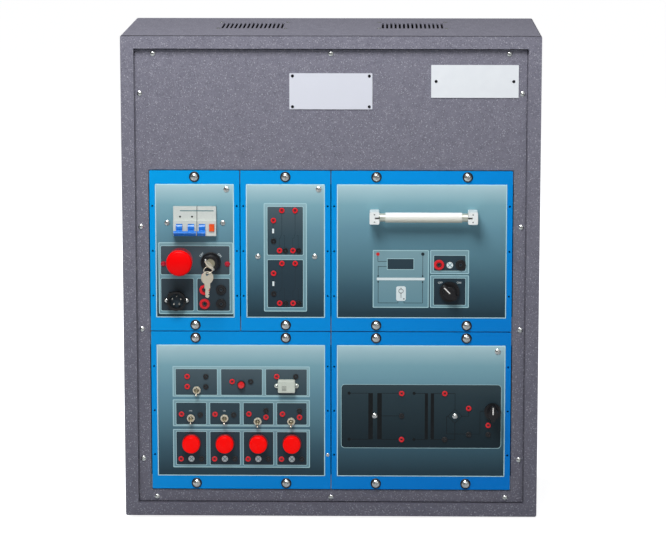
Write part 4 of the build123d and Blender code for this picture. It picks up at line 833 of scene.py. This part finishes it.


# Inlet and sockets: black and red insulators pushed through the faceplates, darker inside their
# mouths with painted shade, with nickel plated contacts, which sit as small turned sleeves in the
# sockets and as round pins in the inlet. The sleeves' nickel is painted dark, as shade deep in the
# sockets.
def solids(node):
    """Low and high corners of each solid of a CAD node, in the scene's metres."""
    bm = bmesh.new()
    bm.from_mesh(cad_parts[node].data)
    bm.transform(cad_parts[node].matrix_world)
    bmesh.ops.remove_doubles(bm, verts=bm.verts, dist=0.000001)
    left = set(bm.verts)
    found = []
    while left:
        reached = [left.pop()]
        for vert in reached:
            near = {edge.other_vert(vert) for edge in vert.link_edges} & left
            reached.extend(near)
            left -= near
        found.append([Vector([pick(vert.co[place] for vert in reached) for place in range(3)])
                      for pick in (min, max)])
    bm.free()
    return sorted(found, key=lambda corners: tuple(corners[0]))


class Turning:
    """Turned pieces whose axes run out of the front, in metres."""

    def __init__(self):
        self.bm = bmesh.new()

    def add(self, x, front, z, profile, steps=28):
        """Add one turning from (radius, height) points, with heights outwards from the front."""
        ends = [self.bm.verts.new((x + radius, front - height, z)) for radius, height in profile]
        edges = [self.bm.edges.new(pair) for pair in zip(ends, ends[1:] + ends[:1])]
        bmesh.ops.spin(self.bm, geom=ends + edges, cent=(x, front, z), axis=(0.0, 1.0, 0.0),
                       angle=2 * pi, steps=steps, use_merge=True)

    def hang(self, name, finish):
        """Close the mesh, keep its arrises sharp and hang it on the cabinet."""
        bmesh.ops.remove_doubles(self.bm, verts=self.bm.verts, dist=0.0000005)
        bmesh.ops.recalc_face_normals(self.bm, faces=self.bm.faces)
        for face in self.bm.faces:
            face.smooth = True
        for edge in self.bm.edges:
            edge.smooth = edge.calc_face_angle(0.0) < radians(35.0)
        mesh = bpy.data.meshes.new(name)
        self.bm.to_mesh(mesh)
        self.bm.free()
        piece(name, mesh, finish)


mouth_level = 0.0011
plate_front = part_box("supply_faceplate")[0].y


def socket_plastic(name, rim, inside):
    """Insulator plastic, darkened inside the mouth of the socket with painted shade."""
    made = Finish(name, rim, Coat_Weight=0.3)
    # Painted shade: the plastic is darker inside the mouth of the socket.
    painted_mouth_shade = made.axis("Y", (0.0, plate_front - mouth_level, 0.0)) > 0.0
    grain = made.noise(0.002, 3.0)
    made.cover(grain * 0.4, inside)
    made.cover(painted_mouth_shade, inside)
    made.set("Roughness", 0.24 + 0.14 * grain)
    made.relief(grain, 0.00003, 0.3)
    return made


dress(socket_plastic("socket_red", "F01C2A", "9C0812"), "large_jacks_red")
dress(socket_plastic("small_socket_red", "F01C2A", "CE1220"), "small_jacks_red")
dress(socket_plastic("socket_black", "1A1A1D", "050506"), "large_jacks_black", "small_jacks_black")
dress(clouded("inlet_black", "0B0B0C", "1A1A1C", 0.4), "inlet_socket")
# Painted shade: the sleeves' nickel is dark grey, as shade deep in the sockets.
shaded_sleeve_nickel = clouded("shaded_sleeve_nickel", "56565A", "747478", 0.42, 0.0015, 1.0, 0.00002)
sleeve_sizes = {"large": (0.0020, 0.00207, 0.0028, 0.0012),
                "small": (0.0009, 0.00107, 0.00135, 0.0003)}
for size, (mouth_depth, bore, reach, height) in sleeve_sizes.items():
    edge = 0.15 * (reach - bore)
    sleeve = [(bore, 0.0), (reach, 0.0), (reach, height - edge), (reach - edge, height),
              (bore + edge, height), (bore, height - edge)]
    for shade in ("red", "black"):
        node = f"{size}_jacks_{shade}"
        sleeves = Turning()
        for low, high in solids(node):
            sleeves.add((low.x + high.x) / 2, low.y + mouth_depth, (low.z + high.z) / 2, sleeve)
        sleeves.hang(node + "_contacts", shaded_sleeve_nickel)

inlet_spot = plate_matrix("supply") @ Vector((-28.7, -77.0, 0.0))
pin_circle = 0.007
pin_radius = 0.0013
pin_foot = -0.0125
pin_front = plate_front - 0.005
pin = [(0.0, pin_foot), (pin_radius, pin_foot), (pin_radius, -0.0006), (pin_radius * 0.85, -0.0002),
       (pin_radius * 0.5, 0.0001), (0.0, 0.0002)]
pins = Turning()
for turn in (90.0, 162.0, 234.0, 306.0, 378.0):
    around = radians(turn)
    pins.add(inlet_spot.x + pin_circle * cos(around), pin_front,
             inlet_spot.z + pin_circle * sin(around), pin, 16)
pin_nickel = clouded("contact_nickel", "E4E0D4", "F4F1E8", 0.28, 0.0015, 0.5, 0.00002)
pins.hang("inlet_contact_pins", pin_nickel)

# Relays: clear grey covers snapped over their coils, on a green board that is screwed to plated
# pillars behind its faceplate.
plate_thick = 0.002
pillar_height = 0.016
board_thick = 0.0017
relay_finish = Finish("relay_unit", "8C9499", Coat_Weight=0.4)
behind_front = relay_finish.axis("Y", (0.0, plate_front + plate_thick + pillar_height, 0.0))
on_pillar = behind_front < 0.0
on_board = (behind_front > -0.00002) * (behind_front < board_thick)
speckle = relay_finish.noise(0.004, 3.0)
relay_finish.paint(relay_finish.mix(speckle, "6E767B", "9AA2A6"))
relay_finish.cover(on_pillar, "B8BABC")
relay_finish.cover(on_board, relay_finish.mix(speckle, "1E5B35", "2A7444"))
relay_finish.set("Roughness", 0.18 + 0.2 * speckle)
dress(relay_finish, "relays")

# Lamp holders: white moulded plastic, each held by two grey rivets, above and below the slot for
# the tube's pins.
rivet_offset = 0.0058
rivet = [(0.0, -0.0004), (0.0012, -0.0004), (0.0012, 0.0001), (0.0009, 0.0003), (0.0006, 0.0001),
         (0.0, 0.0001)]
dress(clouded("holder_white", "EEF3F2", "FAFCFB", 0.3, Coat_Weight=0.3), "lamp_holders")
rivets = Turning()
for low, high in solids("lamp_holders"):
    for side in (-1, 1):
        rivets.add((low.x + high.x) / 2, low.y, (low.z + high.z) / 2 + side * rivet_offset,
                   rivet, 20)
rivet_grey = clouded("rivet_grey", "7E8382", "9AA09E", 0.35, metallic=0.7)
rivets.hang("holder_rivets", rivet_grey)

# Fluorescent tube: opal glass, white above and darker and creamier below with painted shade,
# cemented between two aluminium caps whose pins stand in the holders.
opal = Finish("opal_glass", "F4F6F2", Coat_Weight=0.5)
low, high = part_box("tube_glass")
# Painted shade: the glass darkens and turns creamier towards its underside.
underside_painted_shade = opal.axis("Z", low) * (1 / (high.z - low.z)) + 0.05 * opal.noise(0.01)
opal.paint(opal.steps(underside_painted_shade, ((0.1, "E2DFCC"), (0.6, "F2F3EC"), (0.95, "FBFDFD"))))
opal.set("Roughness", 0.18 + 0.08 * opal.noise(0.005))
dress(opal, "tube_glass")
dress(clouded("cap_aluminium", "C9CCBE", "E2E4D6", 0.36, 0.002, 0.6), "tube_caps")

# Ballast: two sheet steel half shells sprayed white, closed round the choke and screwed behind
# the faceplate of the fluorescent lamp.
dress(clouded("ballast_enamel", "CFD2D2", "E0E3E3", 0.4, 0.006), "ballast")

# Rotary switch and output control: black knobs moulded round a grip bar and pushed on their
# shafts, each with a white line filled into the top of the bar.
pointer_width = 1.7
pointer_start = 0.5
pointer_rise = 0.08
dress(clouded("knob_black", "0D0C0F", "1C1A1E", 0.36, 0.002), "rotary_switch_knob",
      "output_control_knob")
pointer_white = printed("pointer_enamel", "F4F2EE", 0.04)
for name, node, body, module, spot, turn, reach in (
        ("rotary_pointer", "rotary_switch_knob", "lamp_selector",
         "fluorescent", (43.0, -62.0), 135.0, 12.0),
        ("output_pointer", "output_control_knob", "output_dial",
         "power", (111.0, 0.5), 90.0, 10.5)):
    top = (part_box(module + "_faceplate")[0].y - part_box(node)[0].y) * 1000
    out = Vector((cos(radians(turn)), sin(radians(turn))))
    pointer = Layer()
    pointer.line(pointer_width, Vector(spot) - out * pointer_start, Vector(spot) + out * reach)
    pointer.lay(name, module, pointer_white, pointer_rise, top, body)

# Toggle switches: a nickel plated bush and nut clamp each one to its plate, with a red-brown
# moulded body behind it and a polished bat lever.
toggle_finish = Finish("toggle_switch", "D8CFB8")
in_front = toggle_finish.axis("Y", (0.0, plate_front + plate_thick + 0.0001, 0.0)) < 0.0
mottle = toggle_finish.noise(0.0015, 3.0)
toggle_finish.paint(toggle_finish.mix(mottle, "7A2A1C", "943A28"))
toggle_finish.cover(in_front, toggle_finish.mix(mottle, "E4DCC6", "F6F0E0"))
toggle_finish.set("Metallic", in_front * 0.6)
toggle_finish.set("Roughness", 0.2 + 0.16 * mottle)
toggle_finish.relief(toggle_finish.noise(0.0006), 0.00003, 0.3)
dress(toggle_finish, "toggle_switch_bodies")
dress(clouded("lever_nickel", "D8D2C0", "F0EBDC", 0.2, 0.0015, 1.0, 0.00002),
      *[f"toggle_lever_{number}" for number in range(1, 6)])

# Push-button cap and pilot lamp lenses: red plastic. The lenses glow faintly, have fine rings
# moulded inside, and are screwed on darker red collars.
ring_pitch = 0.0016
ring_depth = 0.00012
dress(clouded("cap_red", "E00F14", "F0262A", 0.28, Coat_Weight=0.4), "push_button_cap")
lens = Finish("lens_red", "F00A08", Specular_IOR_Level=0.15, Emission_Strength=0.22)
lens.set("Emission Color", "FF0400")
first_low, first_high = solids("pilot_lamp_lenses")[0]
first_middle = (first_low + first_high) / 2
half_pitch = bay_pitch / 2000
along = lens.axis("X", first_middle - Vector((half_pitch, 0.0, 0.0)))
along = lens.maths("WRAP", along, 2 * half_pitch, 0.0) - half_pitch
from_centre = distance(along, lens.axis("Z", first_middle))
rings = lens.maths("SINE", from_centre * (2 * pi / ring_pitch))
lens.paint(lens.mix(rings * 0.5 + 0.5, "F00402", "FF0A06"))
lens.set("Roughness", 0.16 + 0.1 * lens.noise(0.002))
lens.relief(rings, ring_depth, 0.5)
dress(lens, "pilot_lamp_lenses")
dress(clouded("collar_red", "8E0D10", "A8161A", 0.35, Coat_Weight=0.2), "pilot_lamp_bases")

# Buzzer: a case moulded in cream plastic and screwed on by its two ears, with painted shade
# inside its sound slits.
wall = 0.0012
slit_half = 0.0036
slit_drop = 0.003
buzzer = clouded("buzzer_cream", "C9D2C6", "DDE3D8", 0.45)
low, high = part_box("buzzer")
slit_middle = (low + high) / 2 - Vector((slit_half, 0.0, slit_drop))
in_width = abs(buzzer.axis("X", slit_middle)) < slit_half
in_height = abs(buzzer.axis("Z", slit_middle)) < slit_half
behind_wall = buzzer.axis("Y", low) > wall
# Painted shade: dark inside the sound slits, behind the wall of the case.
buzzer.cover(behind_wall * in_width * in_height, "2B2E2B")
dress(buzzer, "buzzer")

# Transformers: stacks of varnished steel laminations clamped round a coil in amber tape, behind
# the faceplate of the power supply.
core_half = 0.0211
leaf_thick = 0.0005
stack = Finish("laminations", "3A3B3E")
near, far = [abs(stack.axis("X", (low + high) / 2)) for low, high in solids("transformers")]
on_coil = stack.maths("MINIMUM", near, far) > core_half
leaves = stack.maths("FRACT", stack.axis("Y") * (1 / leaf_thick))
stack.paint(stack.mix(leaves, "26272A", "4A4B50"))
stack.cover(on_coil, stack.mix(stack.noise(0.004), "A5711C", "C48A2A"))
stack.set("Roughness", 0.3 + 0.2 * stack.noise(0.003))
stack.relief(leaves, 0.0001, 0.4)
dress(stack, "transformers")

# The box of the finished cabinet.
low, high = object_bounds()
